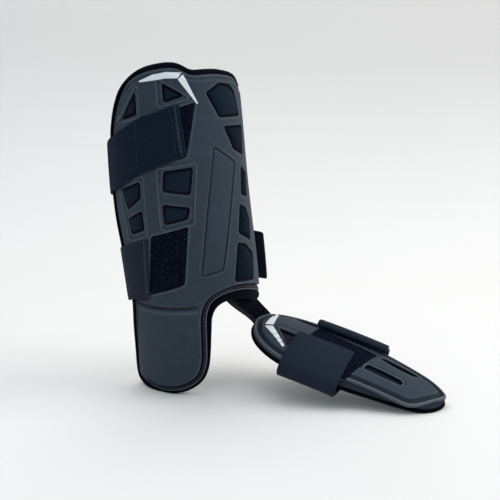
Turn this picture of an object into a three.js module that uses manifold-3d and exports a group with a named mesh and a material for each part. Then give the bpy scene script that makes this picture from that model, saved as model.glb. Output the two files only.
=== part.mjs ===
// A batter's leg guard: a moulded shell on a foam liner, wrapped round the shin, with an ankle flap that
// stands on the ground, two straps that close the back, and a toe guard on a connector strap in front.
// Millimetres and degrees, +Z up, the shin's front toward -Y and its outer side toward -X.
import * as THREE from "three";
import { mergeVertices } from "three/addons/utils/BufferGeometryUtils.js";
import Module from "manifold-3d";

const wasm = await Module();
wasm.setup();

// Shin guard
const guardHeight = 382;
const halfWidth = 80;
const depthRatio = 0.97;
const guardLean = 14.1;
const leanHeading = 214;
const shellThickness = 5;
const rimStep = 1.2;
const rimWidth = 5;
const linerThickness = 8;
const linerMargin = 4;
const archMargin = 9;
const seatGap = 0.4;

// Windows, patches and panel of the shin guard
const padClearance = 0.6;
const padEdgeDepth = 1.6;
const padCrown = 0.6;
const recessDepth = 1.6;
const patchProud = 0.6;
const panelDepth = 0.9;
const creaseDepth = 1.6;

// Straps of the shin guard
const strapThickness = 3;
const upperStrapWidth = 53;
const lowerStrapWidth = 67;
const strapBow = 36;
const wrapAngle = 102;
const tabFlare = 14;

// Toe guard and its connector
const toeLength = 238;
const toeHalfWidth = 56;
const toeArchRadius = 120;
const toeBend = 7;
const toeShellThickness = 4;
const toeStep = 1.2;
const toeStepInset = 7;
const toeFoamThickness = 4;
const toeFoamMargin = 3;
const toePatchProud = 0.8;
const toeStrapThickness = 2.6;
const toeHeading = -61.3;
const toeDrop = 16.3;
const toeRoll = 14;
const toeReach = [24.6, -71.4, 67.3];
const connectorWidth = 44;
const connectorThickness = 2.4;
const connectorAngle = 20;
const connectorRim = 0.275;

// Course of the connector strap. On the guard: distance above the liner's edge, and further inward than
// the liner's inner face. On the toe guard: shares of toeLength and toeHalfWidth, and drop below its foam.
const connectorOnGuard = [
  { above: 34, inward: 0 },
  { above: 14, inward: 0 },
  { above: -6, inward: 1 },
];
const connectorOnToe = [
  { start: -0.02, across: 0.42, drop: 1.6 },
  { start: 0.05, across: 0.4, drop: 0.5 },
  { start: 0.17, across: 0.34, drop: 0 },
];

// How finely the sheets are divided before they are moulded
const cellAcross = 10.5;
const cellUp = 27;
const dishRadius = 4000;
const floorBite = 1.3;

const colours = {
  shell: { color: 0x37404a, roughness: 0.62, metalness: 0 },
  toeShell: { color: 0x434d58, roughness: 0.6, metalness: 0 },
  liner: { color: 0x14181f, roughness: 0.9, metalness: 0 },
  pad: { color: 0x1d2733, roughness: 0.85, metalness: 0 },
  patch: { color: 0x0b1018, roughness: 0.98, metalness: 0 },
  strap: { color: 0x1c2836, roughness: 0.85, metalness: 0 },
};

const radians = THREE.MathUtils.degToRad;
const arcPerDegree = radians(halfWidth);

// Half width of the guard at a share of its height, and its middle's shift to the outer side, as shares of
// halfWidth
const widthSections = [
  { height: 0, width: 1.0, side: 0.03 },
  { height: 0.3, width: 1.01, side: 0.03 },
  { height: 0.6, width: 0.98, side: 0.06 },
  { height: 0.84, width: 0.93, side: 0.02 },
  { height: 1, width: 0.875, side: 0 },
];

// Edge of the liner, anticlockwise from the flap's outer corner: angle from the front, share of the height
const guardEdge = [
  [-103, 0.1], [-103, 0.045], [-101, 0.014], [-97, -0.004], [-90, -0.013], [-80, -0.013],
  [-66, -0.0095], [-58, -0.008], [-52, -0.006], [-47, 0.001], [-41, 0.014], [-35, 0.032], [-30, 0.055], [-26, 0.09],
  [-23.5, 0.14], [-21, 0.21], [-19, 0.254], [-15, 0.277], [-9, 0.289], [0, 0.293],
  [10, 0.289], [20, 0.277], [30, 0.259], [42, 0.238], [56, 0.22], [70, 0.207],
  [84, 0.202], [94, 0.207], [100, 0.225], [103, 0.257], [104, 0.314], [104, 0.42],
  [103, 0.55], [102, 0.68], [99, 0.785], [94, 0.832], [84, 0.859], [70, 0.872],
  [54, 0.882], [42, 0.893], [34, 0.906], [27, 0.921], [19, 0.937], [8, 0.952],
  [-6, 0.959], [-14, 0.963], [-18.5, 0.974], [-23, 0.988], [-29, 0.998], [-37, 1.0],
  [-48, 0.993], [-62, 0.975], [-74, 0.953], [-82, 0.927], [-88, 0.893], [-93, 0.843],
  [-98, 0.785], [-101, 0.712], [-103, 0.615], [-104, 0.523], [-102, 0.46], [-100, 0.374],
  [-100, 0.296], [-102, 0.2],
];

// Foam pads that swell through the shell, each with the corners of its window
const windows = [
  { name: "pad_top_outer", corners: [[-83, 0.853], [-67, 0.871], [-67, 0.931]] },
  { name: "pad_top_front", corners: [[-42, 0.903], [-25, 0.916], [-42, 0.954]] },
  { name: "pad_outer_upper", corners: [[-83, 0.597], [-68, 0.638], [-68, 0.685], [-89, 0.652]] },
  { name: "pad_outer_lower", corners: [[-82, 0.522], [-68, 0.543], [-68, 0.6], [-84, 0.567]] },
  { name: "pad_front_upper", corners: [[-48, 0.661], [-26, 0.644], [-22.5, 0.72], [-46, 0.716]] },
  { name: "pad_front_lower", corners: [[-49, 0.563], [-30, 0.575], [-27.5, 0.607], [-49, 0.622]] },
  { name: "pad_inner_top", corners: [[5, 0.84], [34, 0.819], [28, 0.895], [22, 0.916], [8, 0.93], [-6, 0.914]] },
  { name: "pad_inner_1", corners: [[19, 0.738], [35, 0.703], [39, 0.787], [9, 0.811]] },
  { name: "pad_inner_2", corners: [[25, 0.597], [36, 0.575], [40, 0.643], [29, 0.677]] },
  { name: "pad_inner_3", corners: [[15, 0.489], [32, 0.44], [36, 0.5], [30, 0.548], [21, 0.571]] },
  { name: "pad_inner_4", corners: [[4, 0.345], [30, 0.312], [34, 0.395], [21, 0.446], [12, 0.46]] },
];

// Shallow pockets in the shell: two framing a pair of windows, two holding the hook-and-loop patches
const pockets = {
  outerFrame: [[-84, 0.502], [-65, 0.528], [-64, 0.702], [-91, 0.665]],
  frontFrame: [[-51, 0.548], [-26, 0.56], [-20, 0.729], [-51, 0.724]],
  upperPatch: [[-63, 0.74], [-27, 0.75], [-16, 0.896], [-63, 0.868]],
  lowerPatch: [[-71, 0.337], [-39, 0.374], [-30, 0.556], [-62, 0.528]],
};
const panelCorners = [[-25, 0.395], [-6, 0.397], [19.5, 0.7], [-3, 0.764]];
const creaseCorners = [[-90, 0.291], [-33, 0.294], [-33, 0.305], [-90, 0.302]];

// Course of each strap round the leg, from the outer side over the back to the inner side: girth angle,
// height of its middle as a share of the height, its breadth as a share of its width, the degrees that its
// lower edge runs ahead of its upper edge, and its lift as a share of tabFlare
const upperCourse = [
  { girth: -30, height: 0.829, breadth: 1, ahead: 3, lift: 0 },
  { girth: -62, height: 0.792, breadth: 1.06, ahead: 0, lift: 0 },
  { girth: -80, height: 0.757, breadth: 1.08, ahead: 0, lift: 0 },
  { girth: -100, height: 0.717, breadth: 1.12, ahead: 0, lift: 0 },
  { girth: -130, height: 0.68, breadth: 1.06, ahead: 0, lift: 0 },
  { girth: -180, height: 0.665, breadth: 1, ahead: 0, lift: 0 },
  { girth: -230, height: 0.672, breadth: 1, ahead: 0, lift: 0 },
  { girth: -258, height: 0.68, breadth: 1, ahead: 0, lift: 0 },
  { girth: -284, height: 0.688, breadth: 1, ahead: 0, lift: 0 },
];
const lowerCourse = [
  { girth: -64, height: 0.428, breadth: 1.06, ahead: -5, lift: 0 },
  { girth: -84, height: 0.402, breadth: 1.02, ahead: -2, lift: 0 },
  { girth: -104, height: 0.371, breadth: 1, ahead: 0, lift: 0 },
  { girth: -130, height: 0.342, breadth: 1, ahead: 0, lift: 0 },
  { girth: -180, height: 0.32, breadth: 1, ahead: 0, lift: 0 },
  { girth: -230, height: 0.312, breadth: 1, ahead: 0, lift: 0 },
  { girth: -258, height: 0.31, breadth: 1, ahead: 0, lift: 0 },
  { girth: -276, height: 0.31, breadth: 0.98, ahead: 0, lift: 0.2 },
  { girth: -288, height: 0.31, breadth: 0.96, ahead: 0, lift: 1 },
];

// Edge of the toe shell, anticlockwise: share of toeLength from the heel, share of toeHalfWidth
const toeEdge = [
  [0, 0.2], [0.012, -0.1], [0.05, -0.38], [0.12, -0.6], [0.22, -0.75], [0.34, -0.8],
  [0.5, -0.79], [0.64, -0.73], [0.78, -0.63], [0.88, -0.52], [0.95, -0.36], [0.99, -0.12],
  [0.998, 0.1], [0.965, 0.26], [0.9, 0.42], [0.8, 0.55], [0.68, 0.68], [0.54, 0.8],
  [0.4, 0.87], [0.27, 0.88], [0.15, 0.8], [0.06, 0.6],
];
const toePockets = {
  nearSlot: [[0.6, -0.17], [0.775, -0.22], [0.785, -0.12], [0.61, -0.05]],
  farSlot: [[0.64, 0.24], [0.825, 0.24], [0.83, 0.34], [0.645, 0.34]],
  notch: [[0.135, 0.02], [0.235, -0.42], [0.235, 0.02]],
  slit: [[0.15, 0.72], [0.3, 0.64], [0.3, 0.71]],
};
const toePatchCorners = [[0.26, -0.62], [0.55, -0.7], [0.63, 0.42], [0.3, 0.6]];

// Loop of the toe strap across the guard: share of toeHalfWidth, level, and the strap's two ends along the
// guard as shares of toeLength. Level 1 lies on the patch, -1 under the foam, and 0 is half way round an edge.
const toeStrapLoop = [
  { across: 0.08, level: 1, start: 0.235, end: 0.53 }, { across: -0.35, level: 1, start: 0.235, end: 0.53 },
  { across: -0.66, level: 1, start: 0.235, end: 0.53 }, { across: -0.9, level: 0.78, start: 0.235, end: 0.53 },
  { across: -1.01, level: 0, start: 0.235, end: 0.53 }, { across: -0.99, level: -0.92, start: 0.235, end: 0.53 },
  { across: -0.82, level: -1.2, start: 0.24, end: 0.54 }, { across: -0.4, level: -1.07, start: 0.25, end: 0.56 },
  { across: 0.1, level: -1.06, start: 0.26, end: 0.59 }, { across: 0.6, level: -1.07, start: 0.28, end: 0.62 },
  { across: 0.92, level: -1.18, start: 0.29, end: 0.64 }, { across: 1.09, level: -0.9, start: 0.29, end: 0.65 },
  { across: 1.12, level: 0, start: 0.29, end: 0.66 }, { across: 1.04, level: 0.78, start: 0.29, end: 0.66 },
  { across: 0.84, level: 1.05, start: 0.29, end: 0.66 }, { across: 0.68, level: 1.12, start: 0.29, end: 0.66 },
  { across: 0.57, level: 1.4, start: 0.29, end: 0.66 }, { across: 0.6, level: 1.72, start: 0.29, end: 0.66 },
  { across: 0.7, level: 1.82, start: 0.29, end: 0.66 },
];

// Value of one column of a table at a station, by a smooth curve through its rows
function along(rows, key, station, column) {
  const ordered = rows[0][key] < rows[rows.length - 1][key] ? rows : [...rows].reverse();
  const last = ordered.length - 1;
  let row = 0;
  while (row < last - 1 && station > ordered[row + 1][key]) row += 1;
  const slope = (from, to) =>
    (ordered[to][column] - ordered[from][column]) / (ordered[to][key] - ordered[from][key]);
  const span = ordered[row + 1][key] - ordered[row][key];
  const share = THREE.MathUtils.clamp((station - ordered[row][key]) / span, 0, 1);
  const start = slope(Math.max(row - 1, 0), row + 1) * span;
  const end = slope(row, Math.min(row + 2, last)) * span;
  const cube = share ** 3;
  const square = share ** 2;
  return (
    (2 * cube - 3 * square + 1) * ordered[row][column] +
    (cube - 2 * square + share) * start +
    (3 * square - 2 * cube) * ordered[row + 1][column] +
    (cube - square) * end
  );
}

// Point of the leg form: angle from the front, height, and distance outside the shell's outer face
function legPoint(angle, height, outset) {
  const share = THREE.MathUtils.clamp(height / guardHeight, 0, 1);
  const radius = halfWidth * along(widthSections, "height", share, "width");
  const shift = halfWidth * along(widthSections, "height", share, "side");
  const turn = radians(angle);
  return new THREE.Vector3(
    (radius + outset) * Math.sin(turn) - shift,
    -(radius * depthRatio + outset) * Math.cos(turn),
    height,
  );
}

// Point on a strap's course: along the leg form to the wrap angle, then in a bow across the open back
function girthPoint(girth, height, outset) {
  const fromBack = girth + 180;
  if (Math.abs(fromBack) >= 180 - wrapAngle) return legPoint(girth, height, outset);
  const outerEdge = legPoint(-wrapAngle, height, outset);
  const innerEdge = legPoint(wrapAngle, height, outset);
  const turn = (Math.PI / 2) * (1 - Math.abs(fromBack) / (180 - wrapAngle));
  const side = fromBack > 0 ? outerEdge : innerEdge;
  const middle = (outerEdge.x + innerEdge.x) / 2;
  return new THREE.Vector3(
    middle + (side.x - middle) * Math.cos(turn),
    side.y + strapBow * Math.sin(turn),
    height,
  );
}

// Point of the toe guard's form: along from its heel, across to its far side, and rise above its shell
function toePoint(alongToe, across, rise) {
  const share = alongToe / toeLength;
  const slopeAcross = -across / toeArchRadius;
  const slopeAlong = (4 * toeBend * (1 - 2 * share)) / toeLength;
  const normal = new THREE.Vector3(-slopeAlong, -slopeAcross, 1).normalize();
  const crown = 4 * toeBend * share * (1 - share) - across ** 2 / (2 * toeArchRadius);
  return new THREE.Vector3(alongToe, across, crown).addScaledVector(normal, rise);
}

function toSolid(geometry) {
  const bare = geometry.index ? geometry.clone() : geometry;
  bare.deleteAttribute("normal");
  bare.deleteAttribute("uv");
  const merged = mergeVertices(bare, 1e-4);
  return new wasm.Manifold(
    new wasm.Mesh({
      numProp: 3,
      vertProperties: new Float32Array(merged.attributes.position.array),
      triVerts: new Uint32Array(merged.index.array),
    }),
  );
}

function fromSolid(solid) {
  const mesh = solid.getMesh();
  const geometry = new THREE.BufferGeometry();
  geometry.setAttribute("position", new THREE.BufferAttribute(Float32Array.from(mesh.vertProperties), 3));
  geometry.setIndex(new THREE.BufferAttribute(Uint32Array.from(mesh.triVerts), 1));
  return geometry;
}

// Moves every vertex of a geometry to where `place` sends its three coordinates
function reshape(geometry, place) {
  const position = geometry.attributes.position;
  for (let i = 0; i < position.count; i += 1) {
    const moved = place(position.getX(i), position.getY(i), position.getZ(i));
    position.setXYZ(i, moved.x, moved.y, moved.z);
  }
  position.needsUpdate = true;
  return geometry;
}

// The sheets are cut while nearly flat. A faint dish keeps their grid, so that they mould smoothly.
const dish = (x, y) => (x ** 2 + y ** 2) / (2 * dishRadius);

// Closed sheet between two levels, with the given outline in the flat
function sheet(outline, low, high) {
  const box = new THREE.Box2().setFromPoints(outline);
  const columns = [Math.floor(box.min.x / cellAcross), Math.ceil(box.max.x / cellAcross)];
  const rows = [Math.floor(box.min.y / cellUp), Math.ceil(box.max.y / cellUp)];
  const width = (columns[1] - columns[0]) * cellAcross;
  const height = (rows[1] - rows[0]) * cellUp;
  const slab = new THREE.BoxGeometry(width, height, high - low, columns[1] - columns[0], rows[1] - rows[0], 1);
  const middle = { x: columns[0] * cellAcross + width / 2, y: rows[0] * cellUp + height / 2 };
  reshape(slab, (x, y, z) => {
    const [atX, atY] = [x + middle.x, y + middle.y];
    return { x: atX, y: atY, z: z + (low + high) / 2 + dish(atX, atY) };
  });
  return toSolid(slab).intersect(cutter(outline));
}

// Straight prism through all levels, with the given outline in the flat
function cutter(outline) {
  const reach = 60;
  const prism = new THREE.ExtrudeGeometry(new THREE.Shape(outline), {
    depth: 2 * reach,
    bevelEnabled: false,
  });
  prism.translate(0, 0, -reach);
  return toSolid(prism);
}

// Moulds a cut sheet onto a form
function mould(solid, form) {
  return reshape(fromSolid(solid), (x, y, z) => form(x, y, z - dish(x, y)));
}

// Moves each corner of an outline inward by a margin, which may depend on the corner's number
function inset(outline, margin) {
  const margins = typeof margin === "function" ? margin : () => margin;
  const count = outline.length;
  const turning = Math.sign(THREE.ShapeUtils.area(outline));
  const normals = outline.map((point, i) => {
    const side = outline[(i + 1) % count].clone().sub(point).normalize();
    return new THREE.Vector2(-side.y * turning, side.x * turning);
  });
  return outline.map((point, i) => {
    const before = normals[(i + count - 1) % count];
    const bisector = before.clone().add(normals[i]).normalize();
    return point.clone().addScaledVector(bisector, margins(i) / Math.max(bisector.dot(before), 0.5));
  });
}

const guardFlat = (corners) =>
  corners.map(([angle, height]) => new THREE.Vector2(angle * arcPerDegree, (height - 0.5) * guardHeight));
const guardForm = (x, y, rise) => legPoint(x / arcPerDegree, y + guardHeight / 2, rise);
const toeFlat = (corners) =>
  corners.map(([at, across]) => new THREE.Vector2(at * toeLength, across * toeHalfWidth));

// A soft pad: the outline's corners keep the edge level, and its middle swells to the crown
function pad(outline, low, edge, crown, form) {
  const centre = outline.reduce((sum, p) => sum.add(p), new THREE.Vector2()).divideScalar(outline.length);
  const turning = Math.sign(THREE.ShapeUtils.area(outline));
  const reach = (x, y) =>
    outline.reduce((most, point, i) => {
      const side = outline[(i + 1) % outline.length].clone().sub(point);
      const outward = new THREE.Vector2(side.y * turning, -side.x * turning);
      const whole = outward.dot(point.clone().sub(centre));
      return Math.max(most, outward.dot(new THREE.Vector2(x, y).sub(centre)) / whole);
    }, 0);
  const half = (low + edge) / 2;
  return mould(sheet(outline, low, edge), (x, y, rise) => {
    const swell = rise > half ? (crown - edge) * (1 - Math.min(reach(x, y), 1) ** 2) : 0;
    return form(x, y, rise + swell);
  });
}

// A strap or band: `place(along, across, rise)` is given shares of its length and width, and the rise
function band(place, thickness, stepsAlong, stepsAcross) {
  const strip = new THREE.BoxGeometry(1, 1, 1, stepsAlong, stepsAcross, 1);
  return reshape(strip, (x, y, z) => place(x + 0.5, y + 0.5, z * thickness));
}

function strapBand(course, width, stepsAlong) {
  const first = course[0].girth;
  const last = course[course.length - 1].girth;
  const middle = patchProud + seatGap + strapThickness / 2;
  return band(
    (share, across, rise) => {
      const station = first + share * (last - first);
      const at = (column) => along(course, "girth", station, column);
      const girth = station + across * at("ahead");
      const height = at("height") * guardHeight + (0.5 - across) * width * at("breadth");
      return girthPoint(girth, height, middle + Math.max(at("lift"), 0) * tabFlare + rise);
    },
    strapThickness,
    stepsAlong,
    2,
  );
}

function toeStrapBand() {
  const under = -(toeShellThickness + 2 * toeFoamThickness + 3 * seatGap + toeStrapThickness / 2);
  const over = toePatchProud + seatGap + toeStrapThickness / 2;
  const middle = (over + under) / 2;
  const course = new THREE.CatmullRomCurve3(
    toeStrapLoop.map(
      (row) => new THREE.Vector3(row.across * toeHalfWidth, middle + (row.level * (over - under)) / 2, 0),
    ),
  );
  const ends = new THREE.CatmullRomCurve3(
    toeStrapLoop.map((row) => new THREE.Vector3(row.start * toeLength, row.end * toeLength, 0)),
  );
  return band(
    (share, across, rise) => {
      const at = course.getPoint(share);
      const heading = course.getTangent(share);
      const reach = ends.getPoint(share);
      const place = THREE.MathUtils.lerp(reach.x, reach.y, across);
      return toePoint(place, at.x + heading.y * rise, at.y - heading.x * rise);
    },
    toeStrapThickness,
    44,
    4,
  );
}

function named(name, geometry, look) {
  const mesh = new THREE.Mesh(geometry, new THREE.MeshStandardMaterial(look));
  mesh.name = name;
  return mesh;
}

const guardPlacement = new THREE.Group();
const leanAxis = new THREE.Vector3(-Math.sin(radians(leanHeading)), Math.cos(radians(leanHeading)), 0);
guardPlacement.quaternion.setFromAxisAngle(leanAxis, radians(guardLean));
guardPlacement.updateMatrixWorld(true);

const toePlacement = new THREE.Group();
toePlacement.rotation.set(radians(toeRoll), radians(toeDrop), radians(toeHeading), "ZYX");
toePlacement.position.set(...toeReach);
toePlacement.updateMatrixWorld(true);

// Trims what reaches below the ground, so that the piece stands on a flat patch
function standOn(geometry, placement, groundHeight) {
  const size = 2 * guardHeight;
  const ground = new THREE.BoxGeometry(size, size, size);
  ground.translate(0, 0, groundHeight - size / 2);
  ground.applyMatrix4(placement.matrixWorld.clone().invert());
  return fromSolid(toSolid(geometry).subtract(toSolid(ground)));
}

function lowest(geometry, placement) {
  return new THREE.Box3().setFromBufferAttribute(
    geometry.clone().applyMatrix4(placement.matrixWorld).attributes.position,
  ).min.z;
}

// Shin guard: the liner's edge shows past the shell, whose rim is a step below its face
const linerOutline = guardFlat(guardEdge);
// Over the instep arch the liner shows a broad black edge, and elsewhere a narrow one.
const underArch = ([angle, height]) => angle > -31 && angle < 60 && height < 0.4;
const shellOutline = inset(linerOutline, (i) => (underArch(guardEdge[i]) ? archMargin : linerMargin));
const linerTop = -shellThickness - seatGap;
const linerRaw = mould(sheet(linerOutline, linerTop - linerThickness, linerTop), guardForm);
const ground = lowest(linerRaw, guardPlacement) + floorBite;
guardPlacement.add(named("guard_liner", standOn(linerRaw, guardPlacement, ground), colours.liner));

let shell = sheet(shellOutline, -shellThickness, -rimStep);
shell = shell.add(sheet(inset(shellOutline, rimWidth), -shellThickness + rimStep, 0));
for (const corners of Object.values(pockets)) {
  shell = shell.subtract(sheet(guardFlat(corners), -recessDepth, shellThickness));
}
shell = shell.subtract(sheet(guardFlat(panelCorners), -panelDepth, shellThickness));
shell = shell.subtract(sheet(guardFlat(creaseCorners), -creaseDepth, shellThickness));
for (const { corners } of windows) shell = shell.subtract(cutter(guardFlat(corners)));
guardPlacement.add(named("guard_shell", mould(shell, guardForm), colours.shell));

for (const { name, corners } of windows) {
  const outline = inset(guardFlat(corners), padClearance);
  const foam = pad(outline, linerTop + seatGap, -padEdgeDepth, padCrown, guardForm);
  guardPlacement.add(named(name, foam, colours.pad));
}

for (const [name, corners] of [["upper_patch", pockets.upperPatch], ["lower_patch", pockets.lowerPatch]]) {
  const outline = inset(guardFlat(corners), seatGap);
  const patch = mould(sheet(outline, -recessDepth + seatGap, patchProud), guardForm);
  guardPlacement.add(named(name, patch, colours.patch));
}

guardPlacement.add(named("upper_strap", strapBand(upperCourse, upperStrapWidth, 40), colours.strap));
guardPlacement.add(named("lower_strap", strapBand(lowerCourse, lowerStrapWidth, 40), colours.strap));

// Toe guard: a stepped shell on two foam layers, each a little larger than the one above
const toeOutline = toeFlat(toeEdge);
const toeFoamLow = inset(toeOutline, -toeFoamMargin);
let toeShell = sheet(toeOutline, -toeShellThickness, -toeStep);
toeShell = toeShell.add(sheet(inset(toeOutline, toeStepInset), -toeShellThickness + toeStep / 2, 0));
for (const corners of Object.values(toePockets)) {
  toeShell = toeShell.subtract(sheet(toeFlat(corners), -recessDepth, toeShellThickness));
}
toeShell = toeShell.subtract(sheet(toeFlat(toePatchCorners), -recessDepth, toeShellThickness));
toePlacement.add(named("toe_shell", mould(toeShell, toePoint), colours.toeShell));

const foamTop = -toeShellThickness - seatGap;
const foamMiddle = foamTop - toeFoamThickness - seatGap;
const foamUpper = mould(sheet(toeOutline, foamTop - toeFoamThickness, foamTop), toePoint);
const foamLower = mould(sheet(toeFoamLow, foamMiddle - toeFoamThickness, foamMiddle), toePoint);
toePlacement.position.z += ground - floorBite - lowest(foamLower, toePlacement);
toePlacement.updateMatrixWorld(true);
toePlacement.add(named("toe_foam_upper", standOn(foamUpper, toePlacement, ground), colours.liner));
toePlacement.add(named("toe_foam_lower", standOn(foamLower, toePlacement, ground), colours.liner));

const toePatch = sheet(inset(toeFlat(toePatchCorners), seatGap), -recessDepth + seatGap, toePatchProud);
toePlacement.add(named("toe_patch", mould(toePatch, toePoint), colours.patch));
toePlacement.add(named("toe_strap", toeStrapBand(), colours.strap));

// Connector: from inside the liner's front edge down and forward to the underside of the toe foam
function connectorBand() {
  const inside = linerTop - linerThickness - seatGap - connectorThickness / 2;
  const beneath = foamMiddle - toeFoamThickness - seatGap - connectorThickness / 2;
  const halfSpan = connectorWidth / 2 / radians(halfWidth + inside);
  const rim = connectorRim * guardHeight;
  const edge = (side) => {
    const angle = connectorAngle + side * halfSpan;
    const points = connectorOnGuard.map((row) =>
      guardPlacement.localToWorld(legPoint(angle, rim + row.above, inside - row.inward)),
    );
    for (const row of connectorOnToe) {
      const across = row.across * toeHalfWidth + (side * connectorWidth) / 2;
      const under = toePoint(row.start * toeLength, across, beneath - row.drop);
      points.push(toePlacement.localToWorld(under));
    }
    return new THREE.CatmullRomCurve3(points, false, "centripetal");
  };
  const outer = edge(-1);
  const inner = edge(1);
  return band(
    (share, across, rise) => {
      const from = outer.getPoint(share);
      const to = inner.getPoint(share);
      const heading = outer.getTangent(share).add(inner.getTangent(share));
      const normal = heading.cross(to.clone().sub(from)).normalize();
      return from.lerp(to, across).addScaledVector(normal, rise);
    },
    connectorThickness,
    22,
    2,
  );
}

const guard = new THREE.Group();
guard.add(guardPlacement, toePlacement);
guard.add(named("connector_strap", connectorBand(), colours.patch));

// The origin is at the middle of the footprint, on the ground
guard.updateMatrixWorld(true);
const extent = new THREE.Box3().setFromObject(guard, true);
const middle = extent.getCenter(new THREE.Vector3());
guard.position.set(-middle.x, -middle.y, -ground);

export default guard;
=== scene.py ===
"""A batter's leg guard: moulded shin shell, foam liner, straps and toe guard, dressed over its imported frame.

Flat patterns are in millimetres, as the pieces are cut before moulding. The two forms carry them into the
part's frame, in metres.
"""

import logging
import math
from collections.abc import Callable, Sequence
from dataclasses import dataclass, field
from enum import Enum

import bpy
import numpy as np
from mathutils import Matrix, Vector, kdtree
from mathutils.geometry import delaunay_2d_cdt

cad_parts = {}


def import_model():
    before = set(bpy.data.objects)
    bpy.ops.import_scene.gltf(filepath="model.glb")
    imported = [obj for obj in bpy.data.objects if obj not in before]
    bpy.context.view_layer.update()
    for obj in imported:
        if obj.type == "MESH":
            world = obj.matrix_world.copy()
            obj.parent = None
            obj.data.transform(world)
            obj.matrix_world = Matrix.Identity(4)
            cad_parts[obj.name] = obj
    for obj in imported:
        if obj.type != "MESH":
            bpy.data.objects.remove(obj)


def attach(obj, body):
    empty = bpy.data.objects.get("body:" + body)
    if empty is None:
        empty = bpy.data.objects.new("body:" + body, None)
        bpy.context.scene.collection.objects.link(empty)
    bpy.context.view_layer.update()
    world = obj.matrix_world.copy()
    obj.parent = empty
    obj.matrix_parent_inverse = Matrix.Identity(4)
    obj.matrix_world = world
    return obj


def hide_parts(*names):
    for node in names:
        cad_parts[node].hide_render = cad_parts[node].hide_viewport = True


MM = 0.001
BODY = "root"
LOG = logging.getLogger("leg_guard")
Corners = Sequence[tuple[float, float]]
Colour = tuple[float, float, float]
Rows = Sequence[tuple[float, float]]

CHUNK = 4000  # points whose distances are worked out at a time
SHORTEST = 1e-4  # shortest span between the knots of a curve
WELD = 1e-4  # points of a flat pattern nearer than this are one
ROW_STEP = 0.87  # rows of a staggered grid, as a share of its pitch
GRID_CLEAR = 0.62  # how far a grid keeps from its lines, as a share of its pitch
SHARP_EDGE = 38.0  # degrees over which an edge is shaded sharp
SHELL_BACK = -5.0  # hidden back of the skin and of its pads
PATCH_BACK = -1.2  # hidden back of a loop face
STITCH_STEP = 3.4  # distance from stitch to stitch on the straps


class Slot(Enum):
    """Material slots of the part's record."""

    SHELL = "shell"
    TOE_SHELL = "toe_shell"
    LINER = "liner"
    PAD = "pad"
    PATCH = "patch"
    STRAP = "strap"


# Curves and flat patterns


class Table:
    """A smooth curve through the rows of a short table."""

    def __init__(self, rows: Rows) -> None:
        """Sort the rows by station.

        Args:
            rows: Station and value of each row.
        """
        ordered = sorted(rows)
        self.keys = np.array([row[0] for row in ordered], float)
        self.values = np.array([row[1] for row in ordered], float)

    def __call__(self, at: np.ndarray | float) -> np.ndarray:
        """Value at one or many stations.

        Args:
            at: The stations.

        Returns:
            The value at each, held at the ends.
        """
        at = np.asarray(at, float)
        last = len(self.keys) - 1
        row = np.clip(np.searchsorted(self.keys, at, side="left") - 1, 0, last - 1)
        span = self.keys[row + 1] - self.keys[row]
        share = np.clip((at - self.keys[row]) / span, 0, 1)
        start = self._slope(np.maximum(row - 1, 0), row + 1) * span
        end = self._slope(row, np.minimum(row + 2, last)) * span
        cube, square = share**3, share**2
        return (
            (2 * cube - 3 * square + 1) * self.values[row]
            + (cube - 2 * square + share) * start
            + (3 * square - 2 * cube) * self.values[row + 1]
            + (cube - square) * end
        )

    def _slope(self, low: np.ndarray, high: np.ndarray) -> np.ndarray:
        """Slope between two rows."""
        return (self.values[high] - self.values[low]) / (self.keys[high] - self.keys[low])


def knot_span(*knots: np.ndarray) -> Callable[[float], np.ndarray]:
    """The smooth curve between the middle two of four knots, spaced by the root of their distance.

    Args:
        knots: The knot before, both ends of the span and the knot after.

    Returns:
        The point at each share of the span.
    """
    before, a, b, after = knots
    spans = [max(np.linalg.norm(v - u), SHORTEST) ** 0.5 for u, v in zip(knots, knots[1:])]
    out = ((a - before) / spans[0] - (b - before) / (spans[0] + spans[1]) + (b - a) / spans[1]) * spans[1]
    into = ((b - a) / spans[1] - (after - a) / (spans[1] + spans[2]) + (after - b) / spans[2]) * spans[1]
    square, cube = 3 * (b - a) - 2 * out - into, 2 * (a - b) + out + into
    return lambda t: a + out * t + square * t**2 + cube * t**3


class Thread:
    """A smooth open curve through points."""

    def __init__(self, points: Sequence[Sequence[float]]) -> None:
        """Keep the points.

        Args:
            points: The points that the curve passes.
        """
        self.points = np.array(points, float)

    def at(self, share: float) -> np.ndarray:
        """Point at a share of the curve, counted in whole spans.

        Args:
            share: From 0 to 1.

        Returns:
            The point.
        """
        p = self.points
        place = share * (len(p) - 1)
        i = min(int(place), len(p) - 2)
        before = p[i - 1] if i > 0 else 2 * p[0] - p[1]
        after = p[i + 2] if i + 2 < len(p) else 2 * p[-1] - p[-2]
        return knot_span(before, p[i], p[i + 1], after)(place - i)

    def sampled(self, shares: np.ndarray) -> np.ndarray:
        """Points at many shares of the curve."""
        return np.array([self.at(share) for share in shares])


def resample(loop: np.ndarray, spacing: float, closed: bool = True) -> np.ndarray:
    """Points at even distances along a polyline.

    Args:
        loop: Points of the line.
        spacing: Wanted distance.
        closed: Whether the last point joins the first.

    Returns:
        The new points, without a doubled last one on a closed line.
    """
    line = np.vstack([loop, loop[:1]]) if closed else loop
    steps = np.linalg.norm(np.diff(line, axis=0), axis=1)
    along = np.concatenate([[0.0], np.cumsum(steps)])
    count = max(3, int(round(along[-1] / spacing)))
    places = np.linspace(0, along[-1], count + 1)
    if closed:
        places = places[:-1]
    return np.stack([np.interp(places, along, line[:, k]) for k in (0, 1)], axis=1)


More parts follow.
